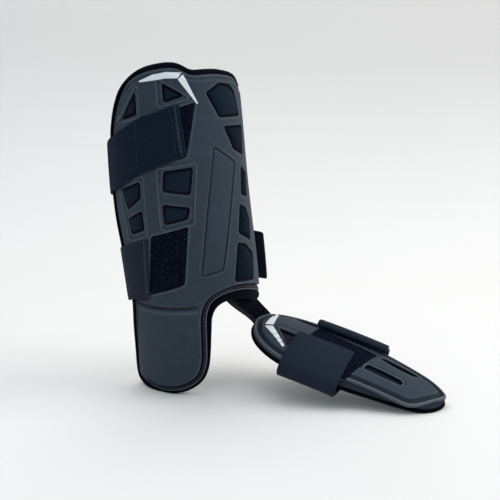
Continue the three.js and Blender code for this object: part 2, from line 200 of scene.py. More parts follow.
def rounded(corners: Corners, radius: float, spacing: float) -> np.ndarray:
    """A polygon with rounded corners.

    Args:
        corners: Its corners, in order.
        radius: How far from a corner the rounding starts, at most.
        spacing: Distance between the points given back.

    Returns:
        Points round the polygon.
    """
    points = np.array(corners, float)
    made = []
    for i, corner in enumerate(points):
        before, after = points[i - 1], points[(i + 1) % len(points)]
        sides = [before - corner, after - corner]
        lengths = [np.linalg.norm(side) for side in sides]
        cut = min(radius, 0.45 * min(lengths))
        first, last = (corner + side / length * cut for side, length in zip(sides, lengths))
        for t in np.linspace(0, 1, 7):
            made.append((1 - t) ** 2 * first + 2 * t * (1 - t) * corner + t**2 * last)
    return resample(np.array(made), spacing)


def flowing(corners: Corners, spacing: float) -> np.ndarray:
    """A smooth closed curve through points.

    Args:
        corners: The points.
        spacing: Distance between the points given back.

    Returns:
        Points round the curve.
    """
    p = np.array(corners, float)
    made = []
    for i in range(len(p)):
        curve = knot_span(*(p[(i + k) % len(p)] for k in (-1, 0, 1, 2)))
        made += [curve(t) for t in np.linspace(0, 1, 12, endpoint=False)]
    return resample(np.array(made), spacing)


def inward(loop: np.ndarray) -> np.ndarray:
    """Unit normals of a closed line, to its inner side."""
    tangent = np.roll(loop, -1, axis=0) - np.roll(loop, 1, axis=0)
    tangent /= np.maximum(np.linalg.norm(tangent, axis=1), 1e-9)[:, None]
    x, y = loop[:, 0], loop[:, 1]
    area = np.sum(x * np.roll(y, -1) - np.roll(x, -1) * y)
    return np.stack([-tangent[:, 1], tangent[:, 0]], axis=1) * math.copysign(1, area)


def inset(loop: np.ndarray, margin: np.ndarray | float, spacing: float) -> np.ndarray:
    """A closed line moved to its inner side, free of loops at tight corners.

    Args:
        loop: The line.
        margin: How far, one value or one for each point; below 0 it goes outward.
        spacing: Distance between the points given back.

    Returns:
        The moved line.
    """
    margins = np.broadcast_to(np.asarray(margin, float), len(loop))
    moved = loop + inward(loop) * margins[:, None]
    clear = edge_distance(moved, loop) > np.abs(margins) * 0.93 - 1e-6
    return resample(moved[clear], spacing)


def edge_distance(points: np.ndarray, loop: np.ndarray, closed: bool = True) -> np.ndarray:
    """Distance of points from a polyline.

    Args:
        points: The points.
        loop: The line.
        closed: Whether its last point joins its first.

    Returns:
        The distance of each point.
    """
    start = loop if closed else loop[:-1]
    side = (np.roll(loop, -1, axis=0) if closed else loop[1:]) - start
    length = np.maximum(np.sum(side**2, axis=1), 1e-12)
    best = np.full(len(points), np.inf)
    for low in range(0, len(points), CHUNK):
        part = points[low : low + CHUNK]
        gap = part[:, None, :] - start[None]
        t = np.clip(np.sum(gap * side[None], axis=2) / length[None], 0, 1)
        away = gap - t[..., None] * side[None]
        best[low : low + CHUNK] = np.sqrt(np.min(np.sum(away**2, axis=2), axis=1))
    return best


def within(points: np.ndarray, loop: np.ndarray) -> np.ndarray:
    """Which points lie inside a closed line.

    Args:
        points: The points.
        loop: The line.

    Returns:
        True for each point inside.
    """
    held = np.zeros(len(points), bool)
    low, high = loop.min(axis=0), loop.max(axis=0)
    near = np.all((points >= low) & (points <= high), axis=1)
    x, y = points[near, 0][:, None], points[near, 1][:, None]
    a, b = loop, np.roll(loop, -1, axis=0)
    crosses = (a[:, 1][None] > y) != (b[:, 1][None] > y)
    rise = np.where(b[:, 1] == a[:, 1], 1e-12, b[:, 1] - a[:, 1])
    at = a[:, 0][None] + (y - a[:, 1][None]) / rise[None] * (b[:, 0] - a[:, 0])[None]
    held[near] = np.sum(crosses & (x < at), axis=1) % 2 == 1
    return held


def between(value: np.ndarray, low: float, high: float, soft: float) -> np.ndarray:
    """1 from low to high, fading to 0 over a soft distance outside both."""
    return np.clip((value - low) / soft + 1, 0, 1) * np.clip((high - value) / soft + 1, 0, 1)


def signed(points: np.ndarray, loop: np.ndarray, reach: float = 12.0) -> np.ndarray:
    """Distance of points from a closed line, below 0 inside it.

    Args:
        points: The points.
        loop: The line.
        reach: Points further outside than this may get any larger value.

    Returns:
        The signed distance of each point.
    """
    made = np.full(len(points), reach * 2.0)
    near = np.all((points >= loop.min(axis=0) - reach) & (points <= loop.max(axis=0) + reach), axis=1)
    if near.any():
        part = points[near]
        made[near] = edge_distance(part, loop) * np.where(within(part, loop), -1.0, 1.0)
    return made


# Forms


@dataclass(frozen=True)
class LegForm:
    """The shin's form that the guard is moulded on."""

    height: float = 382.0
    half_width: float = 80.0
    depth_ratio: float = 0.97
    lean: float = 14.1
    heading: float = 214.0
    wrap: float = 102.0
    bow: float = 36.0
    place: tuple[float, float, float] = (-5.257, 115.714, 20.640)
    widths: tuple = ((0, 1.0), (0.3, 1.01), (0.6, 0.98), (0.84, 0.93), (1, 0.875))
    sides: tuple = ((0, 0.03), (0.3, 0.03), (0.6, 0.06), (0.84, 0.02), (1, 0))

    @property
    def arc(self) -> float:
        """Flat width of one degree round the form."""
        return math.radians(self.half_width)

    def flat(self, corners: Corners) -> list[tuple[float, float]]:
        """Corners given as angle and share of the height, in the flat pattern."""
        return [(angle * self.arc, share * self.height) for angle, share in corners]

    def _stand(self, points: np.ndarray) -> np.ndarray:
        """Lean upright points and set them in the part's frame."""
        turn, way = math.radians(self.lean), math.radians(self.heading)
        axis = np.array([-math.sin(way), math.cos(way), 0.0])
        cross = np.cross(np.broadcast_to(axis, points.shape), points)
        along = (points @ axis)[:, None] * axis
        leant = points * math.cos(turn) + cross * math.sin(turn) + along * (1 - math.cos(turn))
        return (leant + np.array(self.place)) * MM

    def _upright(self, angle: np.ndarray, height: np.ndarray, rise: np.ndarray) -> np.ndarray:
        """Points before the guard leans."""
        share = np.clip(height / self.height, 0, 1)
        radius = self.half_width * Table(self.widths)(share)
        shift = self.half_width * Table(self.sides)(share)
        turn = np.radians(angle)
        x = (radius + rise) * np.sin(turn) - shift
        y = -(radius * self.depth_ratio + rise) * np.cos(turn)
        return np.stack([x, y, height], axis=1)

    def __call__(self, x: np.ndarray, y: np.ndarray, rise: np.ndarray) -> np.ndarray:
        """Points of a flat pattern, moulded.

        Args:
            x: Distance round the form.
            y: Height.
            rise: Distance outside the shell's face.

        Returns:
            Points in the part's frame.
        """
        return self._stand(self._upright(x / self.arc, y, rise))

    def girth(self, girth: np.ndarray, height: np.ndarray, rise: np.ndarray) -> np.ndarray:
        """Points on a strap's course: along the form, then in a bow across the open back.

        Args:
            girth: Angle from the front, to the outer side below 0 and on round the back.
            height: Height.
            rise: Distance outside the shell's face.

        Returns:
            Points in the part's frame.
        """
        back = girth + 180
        made = self._upright(girth, height, rise)
        outer = self._upright(np.full_like(girth, -self.wrap), height, rise)
        inner = self._upright(np.full_like(girth, self.wrap), height, rise)
        turn = (math.pi / 2) * (1 - np.abs(back) / (180 - self.wrap))
        side = np.where((back > 0)[:, None], outer, inner)
        middle = (outer[:, 0] + inner[:, 0]) / 2
        bowed = np.stack(
            [
                middle + (side[:, 0] - middle) * np.cos(turn),
                side[:, 1] + self.bow * np.sin(turn),
                height,
            ],
            axis=1,
        )
        return self._stand(np.where((np.abs(back) < 180 - self.wrap)[:, None], bowed, made))


@dataclass(frozen=True)
class ToeForm:
    """The instep's form that the toe guard is moulded on."""

    length: float = 238.0
    half_width: float = 56.0
    arch_radius: float = 120.0
    bend: float = 7.0
    heading: float = -61.3
    drop: float = 16.3
    roll: float = 14.0
    place: tuple[float, float, float] = (19.343, 44.314, 79.588)

    def flat(self, corners: Corners) -> list[tuple[float, float]]:
        """Corners given as shares of the length and the half width, in the flat pattern."""
        return [(at * self.length, across * self.half_width) for at, across in corners]

    def __call__(self, x: np.ndarray, y: np.ndarray, rise: np.ndarray) -> np.ndarray:
        """Points of a flat pattern, moulded.

        Args:
            x: Distance along, from the heel end.
            y: Distance across, to the far side.
            rise: Distance above the shell's face.

        Returns:
            Points in the part's frame.
        """
        share = x / self.length
        normal = np.stack(
            [-4 * self.bend * (1 - 2 * share) / self.length, y / self.arch_radius, np.ones_like(x)], axis=1
        )
        normal /= np.linalg.norm(normal, axis=1)[:, None]
        crown = 4 * self.bend * share * (1 - share) - y**2 / (2 * self.arch_radius)
        points = np.stack([x, y, crown], axis=1) + normal * np.asarray(rise)[:, None]
        a, b, c = (math.radians(v) for v in (self.roll, self.drop, self.heading))
        about_x = np.array([[1, 0, 0], [0, math.cos(a), -math.sin(a)], [0, math.sin(a), math.cos(a)]])
        about_y = np.array([[math.cos(b), 0, math.sin(b)], [0, 1, 0], [-math.sin(b), 0, math.cos(b)]])
        about_z = np.array([[math.cos(c), -math.sin(c), 0], [math.sin(c), math.cos(c), 0], [0, 0, 1]])
        return (points @ (about_z @ about_y @ about_x).T + np.array(self.place)) * MM


# Meshes


Level = Callable[[np.ndarray], np.ndarray]
Form = Callable[[np.ndarray, np.ndarray, np.ndarray], np.ndarray]


def even(level: float) -> Level:
    """A face at one level."""
    return lambda p: np.full(len(p), level)


def edged(level: float, edge: np.ndarray, curve: Table) -> Level:
    """A face at a level, with a curve by the distance from its edge added to it."""
    return lambda p: level + curve(edge_distance(p, edge))


def eased(level: float, edge: np.ndarray, reach: float) -> Level:
    """A back face at a level that comes forward near its edge."""
    return lambda p: level + np.clip(reach - edge_distance(p, edge), 0, 1)


def anticlockwise(corners: np.ndarray, faces: np.ndarray) -> np.ndarray:
    """The triangles, each with its corners in anticlockwise order."""
    a, b, c = (corners[faces[:, k]] for k in range(3))
    turned = np.cross(b - a, c - a) < 0
    faces[turned] = faces[turned][:, ::-1]
    return faces


def triangulate(points: np.ndarray, loops: Sequence[np.ndarray]) -> tuple[np.ndarray, np.ndarray]:
    """Triangles over loose points and closed lines that they must follow.

    Args:
        points: Loose points.
        loops: Closed lines.

    Returns:
        All points, and the triangles' corners, anticlockwise.
    """
    verts = [Vector(p) for loop in loops for p in loop] + [Vector(p) for p in points]
    edges, first = [], 0
    for loop in loops:
        count = len(loop)
        edges += [(first + i, first + (i + 1) % count) for i in range(count)]
        first += count
    out = delaunay_2d_cdt(verts, edges, [], 0, WELD, False)
    corners = np.array([tuple(v) for v in out[0]])
    return corners, anticlockwise(corners, np.array([tuple(f) for f in out[2]]))


def kept(
    corners: np.ndarray, faces: np.ndarray, outline: np.ndarray, holes: Sequence[np.ndarray]
) -> np.ndarray:
    """The triangles inside an outline and outside its holes."""
    centre = corners[faces].mean(axis=1)
    inside = within(centre, outline)
    for hole in holes:
        inside &= ~within(centre, hole)
    return faces[inside]


def grid_points(
    outline: np.ndarray, holes: Sequence[np.ndarray], lines: Sequence[np.ndarray], pitch: float
) -> np.ndarray:
    """Grid points inside an outline that keep clear of its lines.

    Args:
        outline: The outline.
        holes: Closed lines that hold no points.
        lines: All lines to keep clear of.
        pitch: Distance between the points.

    Returns:
        The points, in staggered rows.
    """
    low, high = outline.min(axis=0), outline.max(axis=0)
    rows = np.arange(low[1], high[1], pitch * ROW_STEP)
    made = []
    for i, y in enumerate(rows):
        x = np.arange(low[0] + (i % 2) * pitch / 2, high[0], pitch)
        made.append(np.stack([x, np.full(len(x), y)], axis=1))
    points = np.vstack(made)
    points = points[within(points, outline)]
    for hole in holes:
        points = points[~within(points, hole)]
    fixed = np.vstack(lines)
    tree = kdtree.KDTree(len(fixed))
    for i, (x, y) in enumerate(fixed):
        tree.insert((x, y, 0), i)
    tree.balance()
    clear = [tree.find((x, y, 0))[2] > GRID_CLEAR * pitch for x, y in points]
    return points[np.array(clear, bool)]


def new_object(name: str, verts: np.ndarray, faces: list, flat: np.ndarray | None = None) -> bpy.types.Object:
    """A mesh object in the scene, with its flat pattern as a UV map in metres.

    Args:
        name: Its name.
        verts: Points in metres.
        faces: Corners of each face.
        flat: Place of each point in the flat pattern, in millimetres.

    Returns:
        The object.
    """
    mesh = bpy.data.meshes.new(name)
    mesh.from_pydata(verts.tolist(), [], faces)
    mesh.update()
    obj = bpy.data.objects.new(name, mesh)
    bpy.context.scene.collection.objects.link(obj)
    if flat is not None:
        corner = np.zeros(len(mesh.loops), int)
        mesh.loops.foreach_get("vertex_index", corner)
        layer = mesh.uv_layers.new(name="Flat")
        layer.data.foreach_set("uv", (flat[corner] * MM).astype(np.float32).ravel())
    return obj


def only(obj: bpy.types.Object) -> None:
    """Make one object the only selected and the active one."""
    bpy.ops.object.select_all(action="DESELECT")
    obj.select_set(True)
    bpy.context.view_layer.objects.active = obj


def smooth(obj: bpy.types.Object, angle: float = SHARP_EDGE) -> None:
    """Shade smooth, and keep edges above an angle sharp."""
    only(obj)
    bpy.ops.object.shade_smooth_by_angle(angle=math.radians(angle))


def apply_all(obj: bpy.types.Object) -> None:
    """Apply every modifier in order."""
    only(obj)
    for modifier in list(obj.modifiers):
        bpy.ops.object.modifier_apply(modifier=modifier.name)


@dataclass
class Sheet:
    """A sheet cut in the flat, given its relief on both faces, and moulded on a form."""

    name: str
    outline: np.ndarray
    form: Form
    front: Level
    back: Level
    holes: list[np.ndarray] = field(default_factory=list)
    lines: list[np.ndarray] = field(default_factory=list)
    pitch: float = 1.6
    back_pitch: float = 5.0
    back_lines: list[np.ndarray] = field(default_factory=list)
    masks: dict[str, Level] = field(default_factory=dict)

    def build(self) -> bpy.types.Object:
        """Triangulate both faces and join them round every edge.

        Returns:
            The closed mesh.
        """
        loops = [self.outline, *self.holes, *self.lines]
        points = grid_points(self.outline, self.holes, loops, self.pitch)
        corners, faces = triangulate(points, loops)
        faces = kept(corners, faces, self.outline, self.holes)
        used, faces = np.unique(faces, return_inverse=True)
        corners, faces = corners[used], faces.reshape(-1, 3)
        rim = self._rim(faces)
        under, beneath, match = self._under(corners, rim)
        top = self.form(corners[:, 0], corners[:, 1], self.front(corners))
        low = self.form(under[:, 0], under[:, 1], self.back(under))
        shift = len(corners)
        all_faces = faces.tolist() + [[a + shift, c + shift, b + shift] for a, b, c in beneath.tolist()]
        all_faces += [[b, a, match[a] + shift, match[b] + shift] for a, b in rim]
        obj = new_object(self.name, np.vstack([top, low]), all_faces, np.vstack([corners, under]))
        for label, mask in self.masks.items():
            layer = obj.data.attributes.new(label, "FLOAT", "POINT")
            layer.data.foreach_set("value", np.append(mask(corners), np.zeros(len(under))))
        smooth(obj)
        return obj

    @staticmethod
    def _rim(faces: np.ndarray) -> list[tuple[int, int]]:
        """Edges that only one triangle has, in its own direction."""
        sides = np.vstack([faces[:, [0, 1]], faces[:, [1, 2]], faces[:, [2, 0]]])
        seen = {(a, b) for a, b in sides.tolist()}
        return [(a, b) for a, b in sides.tolist() if (b, a) not in seen]

    def _under(
        self, corners: np.ndarray, rim: list[tuple[int, int]]
    ) -> tuple[np.ndarray, np.ndarray, dict[int, int]]:
        """The back face's triangles, on the front face's edge points.

        Args:
            corners: The front face's points.
            rim: Its edges.

        Returns:
            The back's points and triangles, and which of them each edge point meets.
        """
        edge = sorted({i for side in rim for i in side})
        place = {i: k for k, i in enumerate(edge)}
        points = grid_points(self.outline, self.holes, [corners[edge], *self.back_lines], self.back_pitch)
        extra = np.vstack([points, *self.back_lines]) if self.back_lines else points
        verts = [Vector(corners[i]) for i in edge] + [Vector(p) for p in extra]
        out = delaunay_2d_cdt(verts, [(place[a], place[b]) for a, b in rim], [], 0, WELD, True)
        under = np.array([tuple(v) for v in out[0]])
        faces = anticlockwise(under, np.array([tuple(f) for f in out[2]]))
        faces = kept(under, faces, self.outline, self.holes)
        match = {}
        for new, olds in enumerate(out[3]):
            for old in olds:
                if old < len(edge):
                    match[edge[old]] = new
        used, faces = np.unique(faces, return_inverse=True)
        back = {old: new for new, old in enumerate(used.tolist())}
        return under[used], faces.reshape(-1, 3), {i: back[v] for i, v in match.items()}


def copies(name: str, unit: bpy.types.Object, places: np.ndarray, axes: np.ndarray) -> bpy.types.Object:
    """One mesh that repeats a small model.

    Args:
        name: Name of the new object.
        unit: The model, which is removed.
        places: Where each copy goes, in metres.
        axes: Three unit axes for each copy, as rows.

    Returns:
        The joined copies.
    """
    base = np.array([v.co for v in unit.data.vertices])
    faces = [list(p.vertices) for p in unit.data.polygons]
    bpy.data.objects.remove(unit, do_unlink=True)
    verts = np.vstack([base @ axes[i] + places[i] for i in range(len(places))])
    made = [[v + i * len(base) for v in face] for i in range(len(places)) for face in faces]
    obj = new_object(name, verts, made)
    smooth(obj, 60)
    return obj


def stitch_unit(length: float, width: float) -> bpy.types.Object:
    """One stitch, a short thread that dips in at both ends.

    Args:
        length: Its length, in metres.
        width: Its thickness, in metres.

    Returns:
        The stitch, along X at the origin.
    """
    bpy.ops.object.select_all(action="DESELECT")
    bpy.ops.mesh.primitive_uv_sphere_add(segments=6, ring_count=5, radius=0.5)
    unit = bpy.context.active_object
    bpy.ops.object.mode_set(mode="EDIT")
    bpy.ops.mesh.select_all(action="SELECT")
    bpy.ops.transform.rotate(value=math.pi / 2, orient_axis="Y", center_override=(0, 0, 0))
    bpy.ops.transform.resize(value=(length, width, width * 0.8), center_override=(0, 0, 0))
    bpy.ops.object.mode_set(mode="OBJECT")
    return unit


def stitch_row(
    name: str, path: np.ndarray, surface: Form, rise: float, pitch: float, size: tuple[float, float]
) -> bpy.types.Object:
    """Stitches along a line of a flat pattern.

    Args:
        name: Name of the piece.
        path: Points of the line.
        surface: Form that the pattern is moulded on.
        rise: How far over the form the thread lies.
        pitch: Distance from stitch to stitch.
        size: Length and thickness of a stitch.

    Returns:
        The stitches as one mesh.
    """
    points = resample(path, pitch, closed=False)
    level = np.full(len(points), rise)
    at = surface(points[:, 0], points[:, 1], level)
    over = surface(points[:, 0], points[:, 1], level + 1.0)
    heading = np.gradient(at, axis=0)
    heading /= np.linalg.norm(heading, axis=1)[:, None]
    up = over - at
    up /= np.linalg.norm(up, axis=1)[:, None]
    side = np.cross(up, heading)
    axes = np.stack([heading, side, up], axis=1)
    return copies(name, stitch_unit(size[0] * MM, size[1] * MM), at, axes)


def film(name: str, loop: np.ndarray, form: Form, relief: Level) -> bpy.types.Object:
    """A thin printed accent on a skin.

    Args:
        name: Name of the piece.
        loop: Its outline in the flat pattern.
        form: Form that the skin is moulded on.
        relief: Rise of the skin's face.

    Returns:
        The accent.
    """
    over, under = (lambda p: relief(p) + 0.3), (lambda p: relief(p) - 0.3)
    return Sheet(name, loop, form, over, under, pitch=0.9, back_pitch=1.1).build()


# Finishes


FLOAT, VECTOR, COLOUR = "NodeSocketFloat", "NodeSocketVector", "NodeSocketColor"
MIX_AMOUNT, MIX_FIRST, MIX_SECOND, MIX_RESULT = 0, 6, 7, 2  # sockets of a colour Mix node


def group(
    name: str, inputs: Sequence[tuple[str, str, object]], outputs: Sequence[tuple[str, str]]
) -> bpy.types.NodeTree:
    """A shader node group with named sockets.

    Args:
        name: Its name.
        inputs: Name, socket type and default of each input.
        outputs: Name and socket type of each output.

    Returns:
        The empty group.
    """
    tree = bpy.data.node_groups.new(name, "ShaderNodeTree")
    for label, kind, default in inputs:
        socket = tree.interface.new_socket(name=label, in_out="INPUT", socket_type=kind)
        if default is not None:
            socket.default_value = default
    for label, kind in outputs:
        tree.interface.new_socket(name=label, in_out="OUTPUT", socket_type=kind)
    return tree


class Wiring:
    """Short calls for adding and joining the nodes of a tree."""

    def __init__(self, tree: bpy.types.NodeTree) -> None:
        """Keep the tree."""
        self.tree = tree

    def add(self, kind: str, **values: object) -> bpy.types.Node:
        """A node with its properties set; names in capitals set inputs.

        Args:
            kind: Type of the node.
            values: Properties, or inputs whose names start with a capital.

        Returns:
            The node.
        """
        node = self.tree.nodes.new(kind)
        for key, value in values.items():
            if key[0].isupper():
                node.inputs[key].default_value = value
            else:
                setattr(node, key, value)
        return node

    def join(self, source: bpy.types.NodeSocket, target: bpy.types.NodeSocket) -> None:
        """Link two sockets."""
        self.tree.links.new(source, target)

    def feed(self, value: object, target: bpy.types.NodeSocket) -> None:
        """Give an input a socket, a number or a colour."""
        if isinstance(value, bpy.types.NodeSocket):
            self.join(value, target)
        else:
            target.default_value = (*value, 1) if isinstance(value, tuple) else value

    def blend(self, amount: bpy.types.NodeSocket, first: object, second: Colour) -> bpy.types.NodeSocket:
        """A mix of two colours.

        Args:
            amount: How much of the second there is.
            first: Socket or colour.
            second: Colour.

        Returns:
            The mixed colour.
        """
        mix = self.add("ShaderNodeMix", data_type="RGBA")
        self.join(amount, mix.inputs[MIX_AMOUNT])
        self.feed(first, mix.inputs[MIX_FIRST])
        self.feed(second, mix.inputs[MIX_SECOND])
        return mix.outputs[MIX_RESULT]

    def give(self, **results: bpy.types.NodeSocket) -> bpy.types.NodeTree:
        """Join a group's results to its outputs, and hand back the group."""
        out = self.add("NodeGroupOutput")
        for label, result in results.items():
            self.join(result, out.inputs[label])
        return self.tree

    def math(self, kind: str, first: object, second: object = 0.0) -> bpy.types.NodeSocket:
        """A Math node over sockets or numbers.

        Args:
            kind: Operation.
            first: Socket or number.
            second: Socket or number.

        Returns:
            Its result.
        """
        node = self.tree.nodes.new("ShaderNodeMath")
        node.operation = kind
        for i, value in enumerate((first, second)):
            self.feed(value, node.inputs[i])
        return node.outputs[0]

    def noise(self, vector: bpy.types.NodeSocket, scale: object, detail: float = 3.0) -> bpy.types.NodeSocket:
        """A noise texture's value.

        Args:
            vector: Where it is read.
            scale: Socket or number.
            detail: Its octaves.

        Returns:
            The value.
        """
        node = self.add("ShaderNodeTexNoise", Detail=detail)
        self.join(vector, node.inputs["Vector"])
        self.feed(scale, node.inputs["Scale"])
        return node.outputs[0]

    def ramp(self, value: bpy.types.NodeSocket, low: float, high: float) -> bpy.types.NodeSocket:
        """A value stretched so that low gives 0 and high gives 1, smoothly."""
        node = self.add("ShaderNodeMapRange", interpolation_type="SMOOTHSTEP")
        for name, fed in (("Value", value), ("From Min", low), ("From Max", high)):
            self.feed(fed, node.inputs[name])
        return node.outputs[0]


def grain_group() -> bpy.types.NodeTree:
    """Fine leathery grain of a moulded skin: a height, and a slow mottling."""
    tree = group(
        "moulded_grain",
        [("Vector", VECTOR, None), ("Scale", FLOAT, 1500.0), ("Mottle Scale", FLOAT, 30.0)],
        [("Height", FLOAT), ("Mottle", FLOAT)],
    )
    wire = Wiring(tree)
    given = wire.add("NodeGroupInput")
    cells = wire.add("ShaderNodeTexVoronoi", feature="SMOOTH_F1")
    wire.join(given.outputs["Vector"], cells.inputs["Vector"])
    wire.join(given.outputs["Scale"], cells.inputs["Scale"])
    fine = wire.math("MULTIPLY", wire.noise(given.outputs["Vector"], given.outputs["Scale"], 4), 0.6)
    height = wire.math("ADD", wire.math("MULTIPLY", cells.outputs["Distance"], 0.6), fine)
    mottle = wire.noise(given.outputs["Vector"], given.outputs["Mottle Scale"], 5)
    return wire.give(Height=height, Mottle=mottle)


def weave_group() -> bpy.types.NodeTree:
    """Woven cloth on the flat pattern: crossed threads as a height and as a mask."""
    tree = group(
        "woven_threads",
        [("Vector", VECTOR, None), ("Warp", FLOAT, 1200.0), ("Weft", FLOAT, 1200.0), ("Fray", FLOAT, 0.5)],
        [("Height", FLOAT), ("Thread", FLOAT)],
    )
    wire = Wiring(tree)
    given = wire.add("NodeGroupInput")
    parts = wire.add("ShaderNodeSeparateXYZ")
    wire.join(given.outputs["Vector"], parts.inputs[0])
    waves = []
    for place, count in zip(parts.outputs, ("Warp", "Weft")):
        turns = wire.math("MULTIPLY", place, given.outputs[count])
        wave = wire.math("SINE", wire.math("MULTIPLY", turns, 2 * math.pi))
        waves.append(wire.math("MULTIPLY", wave, 0.25))
    threads = wire.math("ADD", wire.math("ADD", *waves), 0.5)
    fluff = wire.noise(given.outputs["Vector"], 1400.0, 3)
    height = wire.math("ADD", threads, wire.math("MULTIPLY", fluff, given.outputs["Fray"]))
    return wire.give(Height=height, Thread=wire.math("MULTIPLY", threads, fluff))


def pile_group() -> bpy.types.NodeTree:
    """Loop pile: tangled little loops as a height, with lit specks."""
    tree = group(
        "loop_pile",
        [("Vector", VECTOR, None), ("Scale", FLOAT, 900.0)],
        [("Height", FLOAT), ("Speck", FLOAT)],
    )
    wire = Wiring(tree)
    given = wire.add("NodeGroupInput")
    tangle = wire.noise(given.outputs["Vector"], given.outputs["Scale"], 5)
    loops = wire.add("ShaderNodeTexVoronoi", feature="F1")
    wire.join(given.outputs["Vector"], loops.inputs["Vector"])
    wire.join(wire.math("MULTIPLY", given.outputs["Scale"], 0.7), loops.inputs["Scale"])
    height = wire.math("ADD", tangle, wire.math("MULTIPLY", loops.outputs["Distance"], 0.7))
    specks = wire.noise(given.outputs["Vector"], wire.math("MULTIPLY", given.outputs["Scale"], 0.75), 2)
    return wire.give(Height=height, Speck=wire.ramp(specks, 0.56, 0.72))


def wear_and_light_group() -> bpy.types.NodeTree:
    """Edges lightened by Pointiness as a painted highlight that also stands for rubbed wear, hollows darkened
    by Pointiness as painted shade, dust, lint, and the masks of painted highlight and of dark lines with
    painted shade, over a colour.
    """
    tree = group(
        "worn_and_lit_surface",
        [
            ("Colour", COLOUR, None),
            ("Vector", VECTOR, None),
            ("Rub", FLOAT, 0.3),
            ("Dust", FLOAT, 0.1),
        ],
        [("Colour", COLOUR)],
    )
    wire = Wiring(tree)
    given = wire.add("NodeGroupInput")
    shape = wire.add("ShaderNodeNewGeometry")
    # Painted highlight on sharp edges, partly standing for rubbed wear.
    edge = wire.math("MULTIPLY", wire.ramp(shape.outputs["Pointiness"], 0.51, 0.57), given.outputs["Rub"])
    # Painted shade in hollows.
    hollow_shade = wire.ramp(shape.outputs["Pointiness"], 0.49, 0.43)
    patchy = wire.ramp(wire.noise(given.outputs["Vector"], 120.0, 6), 0.45, 0.8)
    dust = wire.math("MULTIPLY", patchy, given.outputs["Dust"])
    lint = wire.ramp(wire.noise(given.outputs["Vector"], 520.0, 2), 0.74, 0.8)
    pale = wire.math("ADD", wire.math("ADD", edge, dust), wire.math("MULTIPLY", lint, 0.25))
    # Dark lines and painted shade from the mesh, then painted highlight from the mesh.
    seam = wire.add("ShaderNodeAttribute", attribute_name="Seam")
    lit = wire.add("ShaderNodeAttribute", attribute_name="Lit")
    pale = wire.math("ADD", pale, wire.math("MULTIPLY", lit.outputs["Fac"], 0.22))
    colour = given.outputs["Colour"]
    for amount, other in (
        (pale, (0.2, 0.22, 0.24)),
        (wire.math("MULTIPLY", hollow_shade, 0.7), (0.004, 0.006, 0.01)),
        (seam.outputs["Fac"], (0.002, 0.0035, 0.007)),
    ):
        colour = wire.blend(amount, colour, other)
    return wire.give(Colour=colour)


class Reading(Enum):
    """What a finish's pattern follows."""

    OBJECT = "Object"
    FLAT = "UV"


@dataclass(frozen=True)
class Finish:
    """A finish: two colours mixed by a pattern, roughness, sheen, relief, dust, and a painted edge highlight
    that also stands for wear.
    """

    name: str
    pattern: str
    base: Colour
    tint: Colour
    rough: tuple[float, float] = (0.8, 0.92)
    reading: Reading = Reading.OBJECT
    settings: tuple[tuple[str, float], ...] = ()
    bump: float = 0.3
    depth: float = 0.0002
    sheen: float = 0.0
    specular: float = 0.2
    edge_wear_highlight_and_dust: tuple[float, float] = (0.0, 0.0)

    def make(self, groups: dict[str, bpy.types.NodeTree]) -> bpy.types.Material:
        """Build the material.

        Args:
            groups: The pattern groups by name.

        Returns:
            The material.
        """
        material = bpy.data.materials.new(self.name)
        material.use_nodes = True
        tree = material.node_tree
        wire = Wiring(tree)
        shader = tree.nodes["Principled BSDF"]
        for key, value in (
            ("Specular IOR Level", self.specular), ("Sheen Weight", self.sheen), ("Sheen Roughness", 0.4),
        ):
            shader.inputs[key].default_value = value
        where = wire.add("ShaderNodeTexCoord")
        pattern = wire.add("ShaderNodeGroup", node_tree=groups[self.pattern])
        for key, value in self.settings:
            pattern.inputs[key].default_value = value
        wire.join(where.outputs[self.reading.value], pattern.inputs["Vector"])
        mask = pattern.outputs[1]
        # The edge amount is a painted highlight, partly wear; the dust is real.
        edge_wear_and_highlight, dust = self.edge_wear_highlight_and_dust
        worn = wire.add("ShaderNodeGroup", node_tree=groups["worn_and_lit_surface"], Rub=edge_wear_and_highlight, Dust=dust)
        wire.join(wire.blend(mask, self.base, self.tint), worn.inputs["Colour"])
        wire.join(where.outputs["Object"], worn.inputs["Vector"])
        wire.join(worn.outputs["Colour"], shader.inputs["Base Color"])
        rough = wire.add("ShaderNodeMapRange")
        wire.join(mask, rough.inputs["Value"])
        rough.inputs["To Min"].default_value, rough.inputs["To Max"].default_value = self.rough
        wire.join(rough.outputs[0], shader.inputs["Roughness"])
        bump = wire.add("ShaderNodeBump", Strength=self.bump, Distance=self.depth)
        wire.join(pattern.outputs[0], bump.inputs["Height"])
        wire.join(bump.outputs[0], shader.inputs["Normal"])
        return material


